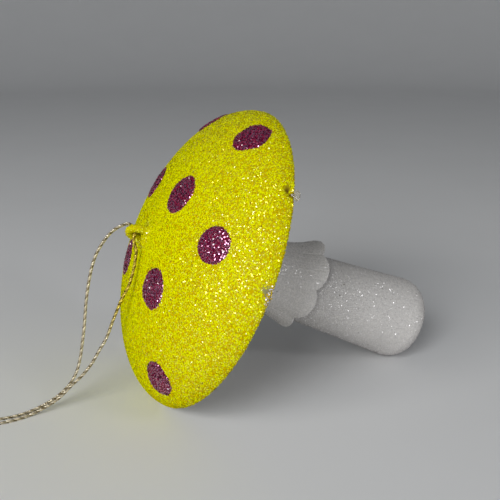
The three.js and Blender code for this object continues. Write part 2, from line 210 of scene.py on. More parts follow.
# Route of the cord, in metres from the middle of the eyelet's beam, as the CAD has it.
CORD_TURN_FRONT_RUN = 3 * MM
CORD_TURN_REAR_RUN = 0.5 * MM
CORD_FRONT_POINTS = MM * np.array((
    (1.1, -3.3, -5), (0.5, -4.4, -7.4), (-0.74, -5.5, -11.1), (-2.19, -5.8, -14.7),
    (-4.35, -5.2, -18.7), (-5.35, -4.3, -21.6), (-6.66, -3.1, -25.4), (-8.53, -1.8, -30.8),
    (-10.75, -0.9, -34.9), (-13.27, -0.6, -39), (-16, -0.7, -41.9), (-18.9, -0.8, -44.2),
    (-23.4, -1, -47.9), (-26.9, -1.2, -49.6), (-31, -1.8, -50.8), (-35.2, -2.9, -50.95),
    (-39.1, -3.3, -50.95), (-45, -2.9, -50.95), (-52, -1.9, -50.95), (-60, -0.9, -50.95),
    (-68, -0.7, -50.9), (-76, -0.7, -50.6),
))
CORD_REAR_POINTS = MM * np.array((
    (-2.1, 1.2, 1), (-4.3, 1.1, -0.1), (-7.1, 0.9, -2.8), (-9.3, 0.9, -6.1),
    (-10.7, 0.8, -9.4), (-11.7, 0.8, -12.9), (-12.6, 0.8, -16.9), (-13.4, 0.8, -21.7),
    (-14.1, 0.8, -27), (-15, 0.8, -32.3), (-16, 0.8, -37.2), (-17.3, 0.8, -41.2),
    (-19.2, 0.7, -44.3), (-23.4, 0.6, -47.9), (-26.9, 0.5, -49.6), (-31, 0.2, -50.8),
    (-35.2, -0.8, -50.95), (-39.1, -0.9, -50.95), (-45, -0.4, -50.95), (-52, 0.5, -50.95),
    (-60, 0.9, -50.95), (-68, 0.7, -50.9), (-76, 0.7, -50.6),
))
CORD_STEP = 0.2 * MM
KNOT_CENTRE = MM * np.array((-78.6, 0, -50.2))
TAIL_SPREAD = 1.6 * MM
TAIL_DROP = 0.5 * MM

# Yarns: they are a little thicker than yarns that only touch, because they press together.
YARN_SWELL = 1.08
YARN_SIDES = 8

# Cut ends: the points along one, where its twist ends and where its hairs start, and the hairs.
TAIL_POINTS = 40
TWIST_END = 32
FRAY_START = 26
FRAY_HAIRS = 14
FRAY_SPREAD = 0.22 * MM
HAIR_RADIUS = 0.06 * MM

# Each group of pieces draws its random numbers from its own seed.
CAP_SEED, SPOT_SEED, STEM_SEED, SKIRT_SEED, EYELET_SEED, PLATE_SEED, GLUE_SEED, CORD_SEED = range(8)


def linear(code):
    """The linear colour of an sRGB hex value such as #ffcc00, with full alpha."""
    parts = np.array([int(code[k:k + 2], 16) for k in (1, 3, 5)]) / 255
    values = np.where(parts <= 0.04045, parts / 12.92, ((parts + 0.055) / 1.055) ** 2.4)
    return (*values.tolist(), 1.0)


def colour(name, description, code):
    """A colour that a user can change, given by its sRGB hex value."""
    return FloatVectorProperty(
        name=name, description=description, subtype="COLOR", size=4, min=0, max=1,
        default=linear(code),
    )


def length(name, description, default):
    """A length in metres that a user can change."""
    return FloatProperty(
        name=name, description=description, default=default, min=0, precision=5, unit="LENGTH",
    )


def angle(name, description, degrees):
    """An angle that a user can change, given in degrees."""
    return FloatProperty(
        name=name, description=description, default=math.radians(degrees), subtype="ANGLE",
        unit="ROTATION",
    )


def power(name, description, default):
    """A lamp's power in watts that a user can change."""
    return FloatProperty(name=name, description=description, default=default, min=0, unit="POWER")


def number(name, description, default, least=0):
    """A whole number that a user can change."""
    return IntProperty(name=name, description=description, default=default, min=least)


class CapSettings(bpy.types.PropertyGroup):
    """Sizes and colours of the glittered cap."""

    radius: length(
        "Radius", "Radius of the cap at its rim, under the flakes",
        (CAP_HIGH.y - CAP_LOW.y) / 2 - FLAKE_ROOM,
    )
    height: length("Height", "Height of the dome above the rim, under the flakes", 20.85 * MM)
    fullness: FloatProperty(
        name="Fullness", description="Power of the dome's superellipse", default=1.89, min=1,
    )
    wall: length("Wall", "Thickness of the moulded shell", 1.8 * MM)
    rim_round: length("Rim round", "Radius of the rounded rim", 0.6 * MM)
    unevenness: length("Unevenness", "Height of the slow waves in the shell", 0.12 * MM)
    flake_count: number("Flakes", "Number of glitter flakes on the cap", 72000)
    flake_size: length("Flake size", "Width of a flake across its corners", 0.5 * MM)
    flake_tilt: angle("Flake tilt", "Spread of the flakes' lean away from the surface", 14)
    bed: colour("Bed", "Tinted glue under the flakes", "#d6ca00")
    bare: colour("Bare", "Bare moulding where flakes have come off", "#6a4c1a")
    smeared: colour("Smeared", "Glue smeared over the glitter at the rim", "#8f8a68")
    lemon: colour("Lemon flakes", "Most of the flakes", "#e8ea00")
    light: colour("Light flakes", "Paler flakes", "#f0f200")
    golden: colour("Golden flakes", "Warmer flakes", "#d4b400")
    bright: colour("Bright flakes", "Metallised flakes", "#f4e014")


class SpotSettings(bpy.types.PropertyGroup):
    """Sizes and colours of the plum spots."""

    thickness: length("Thickness", "Height of a spot above the cap", 0.32 * MM)
    flake_size: length("Flake size", "Width of a flake across its corners", 0.52 * MM)
    bed: colour("Bed", "Tinted glue under the flakes", "#560a32")
    plum: colour("Plum flakes", "Deep dyed flakes", "#801036")
    wine: colour("Wine flakes", "Redder, glossier flakes", "#8e1c48")
    rose: colour("Rose flakes", "Metallised flakes", "#d68cb4")


class StemSettings(bpy.types.PropertyGroup):
    """Sizes and colours of the stem, its skirt and the gilled plate."""

    length: length("Length", "From the cap's rim plane to the foot", 74.5 * MM)
    neck: length("Neck radius", "Radius under the cap", 8.9 * MM)
    foot: length("Foot radius", "Largest radius, above the rounded foot", 13.28 * MM)
    taper: FloatProperty(name="Taper", description="Power of the taper", default=1.1, min=0.1)
    foot_round: length("Foot round", "How far in the foot's rounding reaches", 3.2 * MM)
    foot_rise: length("Foot rise", "How far up the foot's rounding reaches", 5.2 * MM)
    skirt_drop: length("Skirt drop", "From the cap's rim plane to the skirt's hem", 31 * MM)
    skirt_wall: length("Skirt wall", "Thickness of the skirt", 1.2 * MM)
    skirt_flare: length("Skirt flare", "How far the hem stands out", 1.95 * MM)
    skirt_folds: number("Folds", "Folds round the skirt", 7, least=1)
    fold_depth: length("Fold depth", "Depth of a fold at the hem", 0.65 * MM)
    gills: number("Gills", "Gills under the cap", 40, least=3)
    gill_depth: length("Gill depth", "How far a gill stands out of the plate", 0.8 * MM)
    flake_count: number("Flakes", "Number of fine flakes on the stem", 30000)
    flake_size: length("Flake size", "Width of a fine flake across its corners", 0.42 * MM)
    glint_size: length("Glint size", "Width of a metallised flake across its corners", 0.3 * MM)
    white: colour("White", "White lacquer of the stem", "#d4d0cd")
    skirt: colour("Skirt", "Frosted film of the skirt", "#e6e2df")
    frost: colour("Frost", "Clear flakes of the stem and the skirt", "#dedbd8")
    plate: colour("Plate", "Moulded gilled plate", "#eceae5")
    silver: colour("Silver", "Metallised flakes of the stem and the skirt", "#f3eff0")
    dust_and_reflection: colour("Dust", "Specks of dust on the stem", "#57504a")


class EyeletSettings(bpy.types.PropertyGroup):
    """Sizes of the moulded eyelet."""

    wire: length("Wire radius", "Radius of the arch's bar", 1.05 * MM)
    hole: length("Hole radius", "Radius of the hole for the cord", 1.3 * MM)
    rise: length("Rise", "Height of the hole's middle above the cap", 2.2 * MM)
    turn: angle("Turn", "Turn of the arch about the ornament's axis", 42)
    base: length("Base radius", "Radius where the eyelet runs out into the cap", 5.2 * MM)
    flake_count: number("Flakes", "Number of glitter flakes on the eyelet", 900)


class GlueSettings(bpy.types.PropertyGroup):
    """Sizes and colour of the glue that shows at the rim."""

    thickness: length("Thickness", "How far the bead stands out of the rim", 1.4 * MM)
    bead_length: length("Length", "Length of the bead along the rim", 3.2 * MM)
    height: length("Height", "Height of the bead", 1.6 * MM)
    tint: colour("Tint", "Clear hot-melt glue", "#efe9d8")


class CordSettings(bpy.types.PropertyGroup):
    """Sizes and colours of the hanging cord."""

    diameter: length("Diameter", "Diameter of the twisted cord", 0.9 * MM)
    pitch: length("Pitch", "Length of one turn of the twist", 2.2 * MM)
    plies: number("Plies", "Yarns twisted together", 3, least=2)
    knot_length: length("Knot length", "Length of the knot", 4.4 * MM)
    knot_width: length("Knot width", "Width of the knot", 3.2 * MM)
    knot_height: length("Knot height", "Height of the knot", 2.4 * MM)
    tail: length("Tail", "Length of the cut ends past the knot", 6.5 * MM)
    gold: colour("Gold", "Metallised film wound round the yarn", "#f8eed6")
    # Shade: painted shade of the duller plies and of the cord's grooves, and darker stretches at random.
    shade: colour("Shade", "Darker stretches of the film", "#6a5934")
    # Painted reflection: the cap's yellow as it shows in the cord near the eyelet.
    reflected_yellow: colour("Dusted", "Yarn dusted with the cap's yellow", "#fff07a")


class StageSettings(bpy.types.PropertyGroup):
    """Camera, floor and lights."""

    camera: FloatVectorProperty(
        name="Camera", description="Place of the camera", subtype="TRANSLATION", unit="LENGTH",
        default=(-0.08519, -0.19478, 0.10589),
    )
    pitch: angle("Pitch", "How far the camera looks down", 17.15)
    yaw: angle("Yaw", "How far the camera looks to the right of +Y", 21.02)
    field: angle("Field of view", "Field of view across the frame", 38)
    floor_radius: length("Floor radius", "Where the floor starts to rise", 1.1)
    floor_cove: length("Cove", "Radius of the rise at the floor's edge", 0.5)
    floor: colour("Floor", "Plain pale floor", "#e4e4e5")
    key_power: power("Key", "Power of the upper left light", 0.72)
    side_power: power("Side", "Power of the right-hand light", 0.42)
    front_power: power("Front", "Power of the front light", 9.6)
    sky: FloatProperty(name="Sky", description="Strength of the even light", default=0.145, min=0)


class OrnamentSettings(bpy.types.PropertyGroup):
    """All settings of the ornament."""

    cap: PointerProperty(type=CapSettings)
    spots: PointerProperty(type=SpotSettings)
    stem: PointerProperty(type=StemSettings)
    eyelet: PointerProperty(type=EyeletSettings)
    glue: PointerProperty(type=GlueSettings)
    cord: PointerProperty(type=CordSettings)
    stage: PointerProperty(type=StageSettings)


# Arrays of points


def unit(vectors):
    """Vectors scaled to length one along their last axis."""
    return vectors / np.linalg.norm(vectors, axis=-1, keepdims=True)


def laid(points):
    """Places drawn upright, with the rim plane at height 0, in the laid-down ornament."""
    rim_centre = FOOT + bpy.context.scene.ornament.stem.length * OUTWARD
    return rim_centre + points @ np.array((UPWARD, SIDEWAYS, OUTWARD))


def round_axis(radius, height, azimuth):
    """Points at a radius, height and azimuth: x = r cos a, y = r sin a, z = h."""
    radius, height, azimuth = np.broadcast_arrays(radius, height, azimuth)
    return np.stack((radius * np.cos(azimuth), radius * np.sin(azimuth), height), axis=-1)


def full_turn(count):
    """Angles of a full turn in equal steps, without its end."""
    return np.arange(count) * 2 * math.pi / count


def section_points(radius, height):
    """Points of a section, each a radius and a height."""
    return np.stack(np.broadcast_arrays(radius, height), axis=1)


def along_line(points):
    """Distance along a line of points, from its first one."""
    steps = np.linalg.norm(np.diff(points, axis=0), axis=1)
    return np.concatenate(((0.0,), np.cumsum(steps)))


def even_line(points, count):
    """A line of points walked again in equal steps."""
    places = along_line(points)
    wanted = np.linspace(0, places[-1], count)
    return np.stack([np.interp(wanted, places, column) for column in points.T], axis=1)


def smooth_line(points, step):
    """A smooth line through the points: on each span a cubic that leaves and meets its ends
    along the slopes that np.gradient finds there, walked in equal steps of about one length."""
    places = along_line(points)
    slopes = np.gradient(points, places, axis=0)
    fine = np.linspace(0, places[-1], int(8 * places[-1] / step))
    span = np.clip(np.searchsorted(places, fine, side="right") - 1, 0, len(points) - 2)
    wide = (places[span + 1] - places[span])[:, None]
    t = (fine - places[span])[:, None] / wide
    ends = (1 + 2 * t) * (1 - t) ** 2 * points[span] + t * t * (3 - 2 * t) * points[span + 1]
    bends = t * (1 - t) ** 2 * slopes[span] - t * t * (1 - t) * slopes[span + 1]
    line = ends + wide * bends
    return even_line(line, int(round(along_line(line)[-1] / step)) + 1)


def slow_waves(first, second, rng, waves=6, peak=2.5):
    """Soft unevenness from about -1 to 1: a sum of cosines of mixed directions over two
    parameters, each as strong as one over its number, divided by the sum's usual peak."""
    total = 0
    for reach in range(1, waves + 1):
        turns = rng.integers(1, reach + 2)
        total = total + np.cos(reach * first + turns * second + rng.random() * 2 * math.pi) / reach
    return total / peak


def grid_faces(rows, columns, close_rows):
    """Four-cornered faces of a grid of points whose last column joins its first.
    The last row may join the first too."""
    i = np.arange(rows if close_rows else rows - 1)[:, None]
    j = np.arange(columns)[None, :]
    below, beside = (i + 1) % rows, (j + 1) % columns
    corners = (i * columns + j, below * columns + j, below * columns + beside, i * columns + beside)
    return np.stack([corner.ravel() for corner in np.broadcast_arrays(*corners)], axis=1)


def scatter(grid, count, rng):
    """Places spread evenly over a grid that closes on itself across its columns.
    Each face gets its share of the places by area, and a place lies at random in its face."""
    closed = np.concatenate((grid, grid[:, :1]), axis=1)
    a, b, c, d = closed[:-1, :-1], closed[1:, :-1], closed[1:, 1:], closed[:-1, 1:]
    across = np.cross(c - a, d - b).reshape(-1, 3)
    reach = np.cumsum(np.linalg.norm(across, axis=1))
    picked = np.searchsorted(reach, (np.arange(count) + rng.random(count)) / count * reach[-1])
    a, b, c, d = (corner.reshape(-1, 3)[picked] for corner in (a, b, c, d))
    u, v = rng.random((2, count, 1))
    places = (1 - u) * ((1 - v) * a + v * d) + u * ((1 - v) * b + v * c)
    return places, unit(across[picked])


def flakes(places, normals, size, tilt, lift, rng):
    """Six-cornered flakes: a hexagon round each place, in a plane that leans at random.
    The lean is a normal spread in the surface's plane, so most flakes lie nearly flat."""
    count = len(places)
    lean = rng.normal(scale=math.tan(tilt), size=(count, 3))
    facing = unit(normals + lean - np.sum(lean * normals, axis=1, keepdims=True) * normals)
    first = unit(np.cross(facing, rng.normal(size=(count, 3))))
    second = np.cross(facing, first)
    reach = size / 2 * rng.uniform(*WIDTH_SPREAD, (count, 1, 1))
    angles = full_turn(6)[None, :, None]
    ring = np.cos(angles) * first[:, None] + np.sin(angles) * second[:, None]
    height = lift * rng.uniform(*LIFT_SPREAD, (count, 1))
    corners = (places + height * normals)[:, None] + reach * ring
    return corners.reshape(-1, 3), np.arange(6 * count).reshape(-1, 6)


def line_frames(line, reference):
    """Two directions square to a line and to each other at each of its points.
    The first is the reference direction with its part along the line taken off."""
    along = unit(np.gradient(line, axis=0))
    first = unit(reference - (along @ reference)[:, None] * along)
    return first, np.cross(along, first)


def swept(line, radius, sides, reference):
    """Rings of points round a line, at one radius or one for each point."""
    first, second = line_frames(line, np.asarray(reference, float))
    angles = full_turn(sides)[None, :, None]
    ring = np.cos(angles) * first[:, None] - np.sin(angles) * second[:, None]
    return line[:, None] + np.broadcast_to(radius, len(line))[:, None, None] * ring


def closed_ends(rings):
    """Rings with each end drawn together to its middle, so that the tube is closed."""
    start, end = (
        np.broadcast_to(ring.mean(axis=0), (1, *ring.shape)) for ring in (rings[0], rings[-1])
    )
    return np.concatenate((start, rings, end))


# Pieces


def piece(name, points, faces, material, body="ornament", nodes=(), smooth=True, marks=None):
    """A mesh piece from whole arrays of points and of faces with equally many corners.
    Points that fall together, as at a pole, become one, so that the surface is closed.
    Marks are numbers kept with the points for the material to read, by their names."""
    mesh = bpy.data.meshes.new(name)
    mesh.vertices.add(len(points))
    mesh.vertices.foreach_set("co", np.ascontiguousarray(points, np.float32).ravel())
    mesh.loops.add(faces.size)
    mesh.loops.foreach_set("vertex_index", faces.astype(np.int32).ravel())
    mesh.polygons.add(len(faces))
    starts = np.arange(0, faces.size, faces.shape[1], dtype=np.int32)
    mesh.polygons.foreach_set("loop_start", starts)
    mesh.polygons.foreach_set("use_smooth", np.full(len(faces), smooth))
    mesh.update(calc_edges=True)
    for mark, values in (marks or {}).items():
        layer = mesh.attributes.new(mark, "FLOAT", "POINT")
        layer.data.foreach_set("value", np.ascontiguousarray(values, np.float32).ravel())
    if smooth:
        build = bmesh.new()
        build.from_mesh(mesh)
        bmesh.ops.remove_doubles(build, verts=build.verts, dist=WELD)
        build.to_mesh(mesh)
        build.free()
        mesh.set_sharp_from_angle(angle=SHARP_EDGE)
    mesh.materials.append(material)
    made = bpy.data.objects.new(name, mesh)
    bpy.context.scene.collection.objects.link(made)
    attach(made, body)
    if nodes:
        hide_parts(*nodes)
    return made


def surfaces(grids, close_rows=False):
    """Several grids of points as one array of points and one of faces."""
    points, faces, start = [], [], 0
    for grid in grids:
        rows, columns = grid.shape[:2]
        points.append(grid.reshape(-1, 3))
        faces.append(grid_faces(rows, columns, close_rows) + start)
        start += rows * columns
    return np.concatenate(points), np.concatenate(faces)


def moulded(name, grids, material, nodes=(), turned=False, close_rows=False):
    """A piece from grids drawn upright, laid down with the ornament. A grid that runs the other
    way round has its faces turned."""
    points, faces = surfaces(grids, close_rows)
    faces = faces[:, ::-1] if turned else faces
    return piece(name, laid(points), faces, material, nodes=nodes)


def flake_pieces(name, places, normals, size, tilt, shades, rng, shares, lift=COARSE_LIFT):
    """One piece of flakes for each shade, with the flakes dealt out at random by their shares.
    Shares are one number for each shade, or a row of numbers for each place. Size and tilt are
    one for all shades or one for each. The lift off the surface is a share of the size."""
    shares = np.asarray(shares, float)
    reach = np.cumsum(shares / shares.sum(axis=-1, keepdims=True), axis=-1)
    picked = (rng.random(len(places))[:, None] > reach).sum(axis=1)
    sizes, tilts = np.broadcast_to(size, len(shades)), np.broadcast_to(tilt, len(shades))
    lift = lift * sizes.max()
    for index, (shade, material) in enumerate(shades.items()):
        mine = picked == index
        if not mine.any():
            continue
        corners, faces = flakes(places[mine], normals[mine], sizes[index], tilts[index], lift, rng)
        corners = laid(corners)
        corners[:, 2] = np.maximum(corners[:, 2], FLOOR_GAP)
        piece(f"{name}_{shade}", corners, faces, material, smooth=False)


# Materials


def add(tree, kind, inputs=None, **settings):
    """Adds a node with its settings. An input is a value or the socket that feeds it."""
    node = tree.nodes.new(kind)
    for name, value in settings.items():
        setattr(node, name, value)
    for key, value in (inputs or {}).items():
        if isinstance(value, bpy.types.NodeSocket):
            tree.links.new(value, node.inputs[key])
        else:
            node.inputs[key].default_value = value
    return node


def new_material(name, **inputs):
    """A material with one Principled shader, whose plain inputs are set on its own sockets."""
    material = bpy.data.materials.new(name)
    material.use_nodes = True
    shader = material.node_tree.nodes["Principled BSDF"]
    for key, value in inputs.items():
        shader.inputs[key.replace("_", " ")].default_value = value
    return material, material.node_tree, shader


def flake_film(name, tint, gloss, metal, rough=0.2):
    """Glitter flake: cut from polyester film that is dyed right through or metallised.
    A dyed flake is a tiny tinted plate whose lacquer flashes white. A metallised one mirrors its
    surroundings under a clear lacquer, so it is dull until it faces a lamp. The grain of the
    finish comes from the flakes themselves, which come in several shades and lean every way."""
    material, _, _ = new_material(
        name, Base_Color=tint, Roughness=rough, IOR=1.65, Specular_IOR_Level=gloss, Metallic=metal,
        Coat_Weight=metal, Coat_Roughness=rough, Coat_IOR=1.7,
    )
    return material


def glitter_bed(name, tint, grain, stains=None):
    """Glitter bed: tinted glue brushed on a moulding, pitted where flakes press into it.
    It shows as a darker ground between the flakes. Each stain is a colour that covers the bed
    where the points carry its mark."""
    material, tree, shader = new_material(name, Roughness=0.5, Specular_IOR_Level=0.05)
    place = add(tree, "ShaderNodeTexCoord").outputs["Object"]
    pits = add(tree, "ShaderNodeTexVoronoi", {"Vector": place, "Scale": 1 / grain})
    shade = add(tree, "ShaderNodeSeparateColor", {"Color": pits.outputs["Color"]})
    ground = add(
        tree, "ShaderNodeMix",
        {"Factor": shade.outputs["Red"], "A": [0.8 * x for x in tint[:3]] + [1], "B": tint},
        data_type="RGBA",
    )
    for mark, stain in (stains or {}).items():
        amount = add(tree, "ShaderNodeAttribute", attribute_name=mark)
        ground = add(
            tree, "ShaderNodeMix",
            {"Factor": amount.outputs["Fac"], "A": ground.outputs["Result"], "B": stain},
            data_type="RGBA",
        )
    bump = add(
        tree, "ShaderNodeBump",
        {"Height": pits.outputs["Distance"], "Strength": 0.5, "Distance": 0.1 * MM},
    )
    tree.links.new(ground.outputs["Result"], shader.inputs["Base Color"])
    tree.links.new(bump.outputs["Normal"], shader.inputs["Normal"])
    return material


def frosted_white(name, tint, dust_and_reflection, grain, speck_spacing, shade_ends=None):
    """White lacquer with fine clear glitter: sprayed on a moulding, matt and faintly grainy.
    The grain is drawn at the flakes' size. A few specks of dust have stuck to it. Painted shade, if
    given, is the lacquer's whiteness towards the cap and towards the foot, darker where the cap shades it."""
    material, tree, shader = new_material(name, Roughness=0.55, IOR=1.5)
    place = add(tree, "ShaderNodeTexCoord").outputs["Object"]
    frost = add(tree, "ShaderNodeTexVoronoi", {"Vector": place, "Scale": 1 / grain})
    cloud = add(
        tree, "ShaderNodeTexNoise", {"Vector": place, "Scale": 1 / (14 * MM), "Detail": 3.0},
    )
    tone = add(
        tree, "ShaderNodeMapRange", {"Value": cloud.outputs["Fac"], "To Min": 0.93, "To Max": 1.05},
    )
    shade = add(tree, "ShaderNodeSeparateColor", {"Color": frost.outputs["Color"]})
    sparkle = add(
        tree, "ShaderNodeMapRange",
        {"Value": shade.outputs["Green"], "To Min": 0.9, "To Max": 1.04},
    )
    level = add(
        tree, "ShaderNodeMath", {0: tone.outputs["Result"], 1: sparkle.outputs["Result"]},
        operation="MULTIPLY",
    )
    # Painted shade: the lacquer darkens towards the cap, which shades the neck, and lightens towards the foot.
    if shade_ends:
        along = add(tree, "ShaderNodeSeparateXYZ", {"Vector": place})
        painted_gradient = add(
            tree, "ShaderNodeMapRange",
            {"Value": along.outputs["X"], "From Min": SHADE_FROM, "From Max": SHADE_TO,
             "To Min": shade_ends[0], "To Max": shade_ends[1]},
        )
        level = add(
            tree, "ShaderNodeMath", {0: level.outputs["Value"], 1: painted_gradient.outputs["Result"]},
            operation="MULTIPLY",
        )
    white = add(
        tree, "ShaderNodeVectorMath", {0: tint[:3], "Scale": level.outputs["Value"]},
        operation="SCALE",
    )
    specks = add(tree, "ShaderNodeTexVoronoi", {"Vector": place, "Scale": 1 / speck_spacing})
    dot = add(
        tree, "ShaderNodeMapRange",
        {"Value": specks.outputs["Distance"], "From Min": 0.2 * MM / speck_spacing,
         "From Max": 0.32 * MM / speck_spacing, "To Min": 0.85, "To Max": 0.0},
    )
    mixed = add(
        tree, "ShaderNodeMix",
        {"Factor": dot.outputs["Result"], "A": white.outputs["Vector"], "B": dust_and_reflection},
        data_type="RGBA",
    )
    rough = add(
        tree, "ShaderNodeMapRange",
        {"Value": shade.outputs["Blue"], "To Min": 0.38, "To Max": 0.65},
    )
    bump = add(
        tree, "ShaderNodeBump",
        {"Height": shade.outputs["Red"], "Strength": 0.25, "Distance": 0.08 * MM},
    )
    tree.links.new(mixed.outputs["Result"], shader.inputs["Base Color"])
    tree.links.new(rough.outputs["Result"], shader.inputs["Roughness"])
    tree.links.new(bump.outputs["Normal"], shader.inputs["Normal"])
    return material


def hot_melt(name, tint):
    """Hot-melt glue: clear EVA that set as it was squeezed out.
    It looks like cloudy wax, glossy where it set free and dull where it was pressed."""
    material, tree, shader = new_material(name, Base_Color=tint, IOR=1.48, Transmission_Weight=0.8)
    place = add(tree, "ShaderNodeTexCoord").outputs["Object"]
    cloud = add(
        tree, "ShaderNodeTexNoise", {"Vector": place, "Scale": 1 / (1.2 * MM), "Detail": 1.0},
    )
    rough = add(
        tree, "ShaderNodeMapRange", {"Value": cloud.outputs["Fac"], "To Min": 0.04, "To Max": 0.25},
    )
    bump = add(
        tree, "ShaderNodeBump",
        {"Height": cloud.outputs["Fac"], "Strength": 0.5, "Distance": 0.5 * MM},
    )
    tree.links.new(rough.outputs["Result"], shader.inputs["Roughness"])
    tree.links.new(bump.outputs["Normal"], shader.inputs["Normal"])
    return material


def metallised_yarn(name, gold, shade, reflected_yellow):
    """Metallised yarn: a narrow film of gold-coloured metal wound round a fine thread.
    The film flashes where it faces the light. The plies are painted brighter and duller in turn,
    standing in for the glints on the yarns and the shade in the grooves between them, which shows the
    cord's twist. Near the eyelet the yarn is painted yellow, a painted reflection of the yellow cap."""
    material, tree, shader = new_material(name, Metallic=0.85)
    place = add(tree, "ShaderNodeTexCoord").outputs["Object"]
    cuts = add(tree, "ShaderNodeTexVoronoi", {"Vector": place, "Scale": 1 / (0.45 * MM)})
    tone = add(tree, "ShaderNodeSeparateColor", {"Color": cuts.outputs["Color"]})
    # Painted light and shade: each ply's brightness stands in for the glints and the groove shade.
    ply = add(tree, "ShaderNodeAttribute", attribute_name="ply")
    level = add(
        tree, "ShaderNodeMix", {"Factor": 0.35, "A": ply.outputs["Fac"], "B": tone.outputs["Red"]},
    )
    film = add(
        tree, "ShaderNodeMix", {"Factor": level.outputs["Result"], "A": shade, "B": gold},
        data_type="RGBA",
    )
    # Painted reflection: the cap's yellow, multiplied into the film near the eyelet.
    dust_and_reflection = add(tree, "ShaderNodeAttribute", attribute_name="dust_and_reflection")
    yellow_reflection = add(
        tree, "ShaderNodeMix",
        {"Factor": dust_and_reflection.outputs["Fac"], "A": film.outputs["Result"], "B": reflected_yellow},
        data_type="RGBA", blend_type="MULTIPLY",
    )
    rough = add(
        tree, "ShaderNodeMapRange", {"Value": tone.outputs["Green"], "To Min": 0.25, "To Max": 0.55},
    )
    bump = add(
        tree, "ShaderNodeBump",
        {"Height": tone.outputs["Blue"], "Strength": 0.5, "Distance": 0.06 * MM},
    )
    tree.links.new(yellow_reflection.outputs["Result"], shader.inputs["Base Color"])
    tree.links.new(rough.outputs["Result"], shader.inputs["Roughness"])
    tree.links.new(bump.outputs["Normal"], shader.inputs["Normal"])
    return material


def matt_board(name, tint):
    """Matt painted board: even and pale, with a trace of roller texture."""
    material, tree, shader = new_material(name, Roughness=0.7)
    place = add(tree, "ShaderNodeTexCoord").outputs["Object"]
    cloud = add(tree, "ShaderNodeTexNoise", {"Vector": place, "Scale": 1 / (60 * MM)})
    tone = add(
        tree, "ShaderNodeMapRange", {"Value": cloud.outputs["Fac"], "To Min": 0.98, "To Max": 1.02},
    )
    paint = add(
        tree, "ShaderNodeVectorMath", {0: tint[:3], "Scale": tone.outputs["Result"]},
        operation="SCALE",
    )
    tree.links.new(paint.outputs["Vector"], shader.inputs["Base Color"])
    return material


def films(name, shades):
    """Films of several shades, each a tint, a gloss, a share of metal and, if it isn't the usual
    one, a roughness. Pieces of one finish share them."""
    return {
        shade: bpy.data.materials.get(f"{name}_{shade}") or flake_film(f"{name}_{shade}", *look)
        for shade, look in shades.items()
    }


def yellow_films(cap):
    """The four shades of yellow flake on the cap and the eyelet, and a few singed dark flakes."""
    return films("yellow_glitter_film", {
        "lemon": (cap.lemon, 0.0, 0.0), "light": (cap.light, 1.0, 0.0),
        "golden": (cap.golden, 0.0, 0.0), "bright": (cap.bright, 0.6, 0.45),
        "singed": (cap.bare, 0.2, 0.0),
    })


def white_films(stem):
    """The two shades of fine flake on the stem, the skirt and the plate, and specks of dust."""
    return films("white_glitter_film", {
        "frost": (stem.frost, 0.6, 0.0), "silver": (stem.silver, 0.5, 0.8, 0.3),
        "dust_and_reflection": (stem.dust_and_reflection, 0.0, 0.0),
    })


def plum_films(spots):
    """The three shades of plum flake on the spots."""
    return films("plum_glitter_film", {
        "plum": (spots.plum, 0.05, 0.0), "wine": (spots.wine, 1.0, 0.0, 0.15),
        "rose": (spots.rose, 0.6, 0.9),
    })


def frost_flakes(name, grid, count, stem, glints, rng):
    """Fine flakes scattered on a grid: clear frost, metallised glints and a trace of dust.
    The glints are given by their share, their width and their tilt in degrees."""
    share, width, tilt = glints
    places, normals = scatter(grid, count, rng)
    sizes = (stem.flake_size, width, stem.flake_size)
    tilts = np.radians((FROST_TILT, tilt, FROST_TILT))
    flake_pieces(name, places, normals, sizes, tilts, white_films(stem), rng,
                 (1 - share, share, DUST_SHARE), FINE_LIFT)


# Shapes of the cap and the stem, drawn upright


def dome_section(cap, radius, height, count):
    """Section of a dome from its apex to its rim: (r / R)^n + (z / H)^n = 1, walked evenly."""
    turn = np.linspace(0, math.pi / 2, 8 * count)
    bulge = 2 / cap.fullness
    section = section_points(radius * np.sin(turn) ** bulge, height * np.cos(turn) ** bulge)
    return even_line(section, count)


def cap_section(cap):
    """Outside of the cap from its apex over the dome and round the rim's outer edge."""
    dome = dome_section(cap, cap.radius, cap.height, count=600)
    above = dome[dome[:, 1] > cap.rim_round]
    turn = np.linspace(0, math.pi / 2, 12)
    middle = above[-1, 0] - cap.rim_round
    edge = section_points(middle + cap.rim_round * np.cos(turn),
                          cap.rim_round * (1 - np.sin(turn)))
    return np.concatenate((above, edge[1:]))


def cap_outside(cap, rows, columns):
    """Grid over the outside of the cap: the section carried round the axis, with slow waves in
    the shell that die away at the apex and the rim, and a pit where the rim is chipped. At a
    distance d from the chip, whose radius is r, the pit is as deep as exp(-(d / 0.7 r)^2)."""
    section = even_line(cap_section(cap), rows)
    slope = np.gradient(section, axis=0)
    out = unit(section_points(-slope[:, 1], slope[:, 0]))[:, None]
    azimuth = full_turn(columns)
    along = along_line(section)[:, None] / cap.radius
    waves = slow_waves(2 * along, azimuth[None, :], np.random.default_rng(CAP_SEED))
    lift = cap.unevenness * waves * np.sin(np.clip(along / along[-1], 0, 1) * math.pi)
    shape = section[:, None] + lift[:, :, None] * out
    grid = round_axis(shape[..., 0], shape[..., 1], azimuth)
    chip, inwards = rim_place(cap, RIM_CHIP)
    nearness = np.exp(-np.sum((grid - chip) ** 2, axis=-1) / (0.7 * RIM_CHIP.radius) ** 2)
    return grid + CHIP_DEPTH * nearness[..., None] * inwards


def rim_place(cap, mark):
    """Place of a mark on the cap, and the way from it inwards and a little down."""
    section = cap_section(cap)
    places = along_line(section)
    radius, height = (np.interp(places[-1] - mark.rise, places, column) for column in section.T)
    azimuth = math.radians(mark.azimuth)
    return round_axis(radius, height, azimuth), -round_axis(1.0, 0.3, azimuth)


def rim_axes(azimuth):
    """Directions outwards from the axis and along the rim at an azimuth."""
    return round_axis(1.0, 0.0, azimuth), round_axis(1.0, 0.0, azimuth + math.pi / 2)


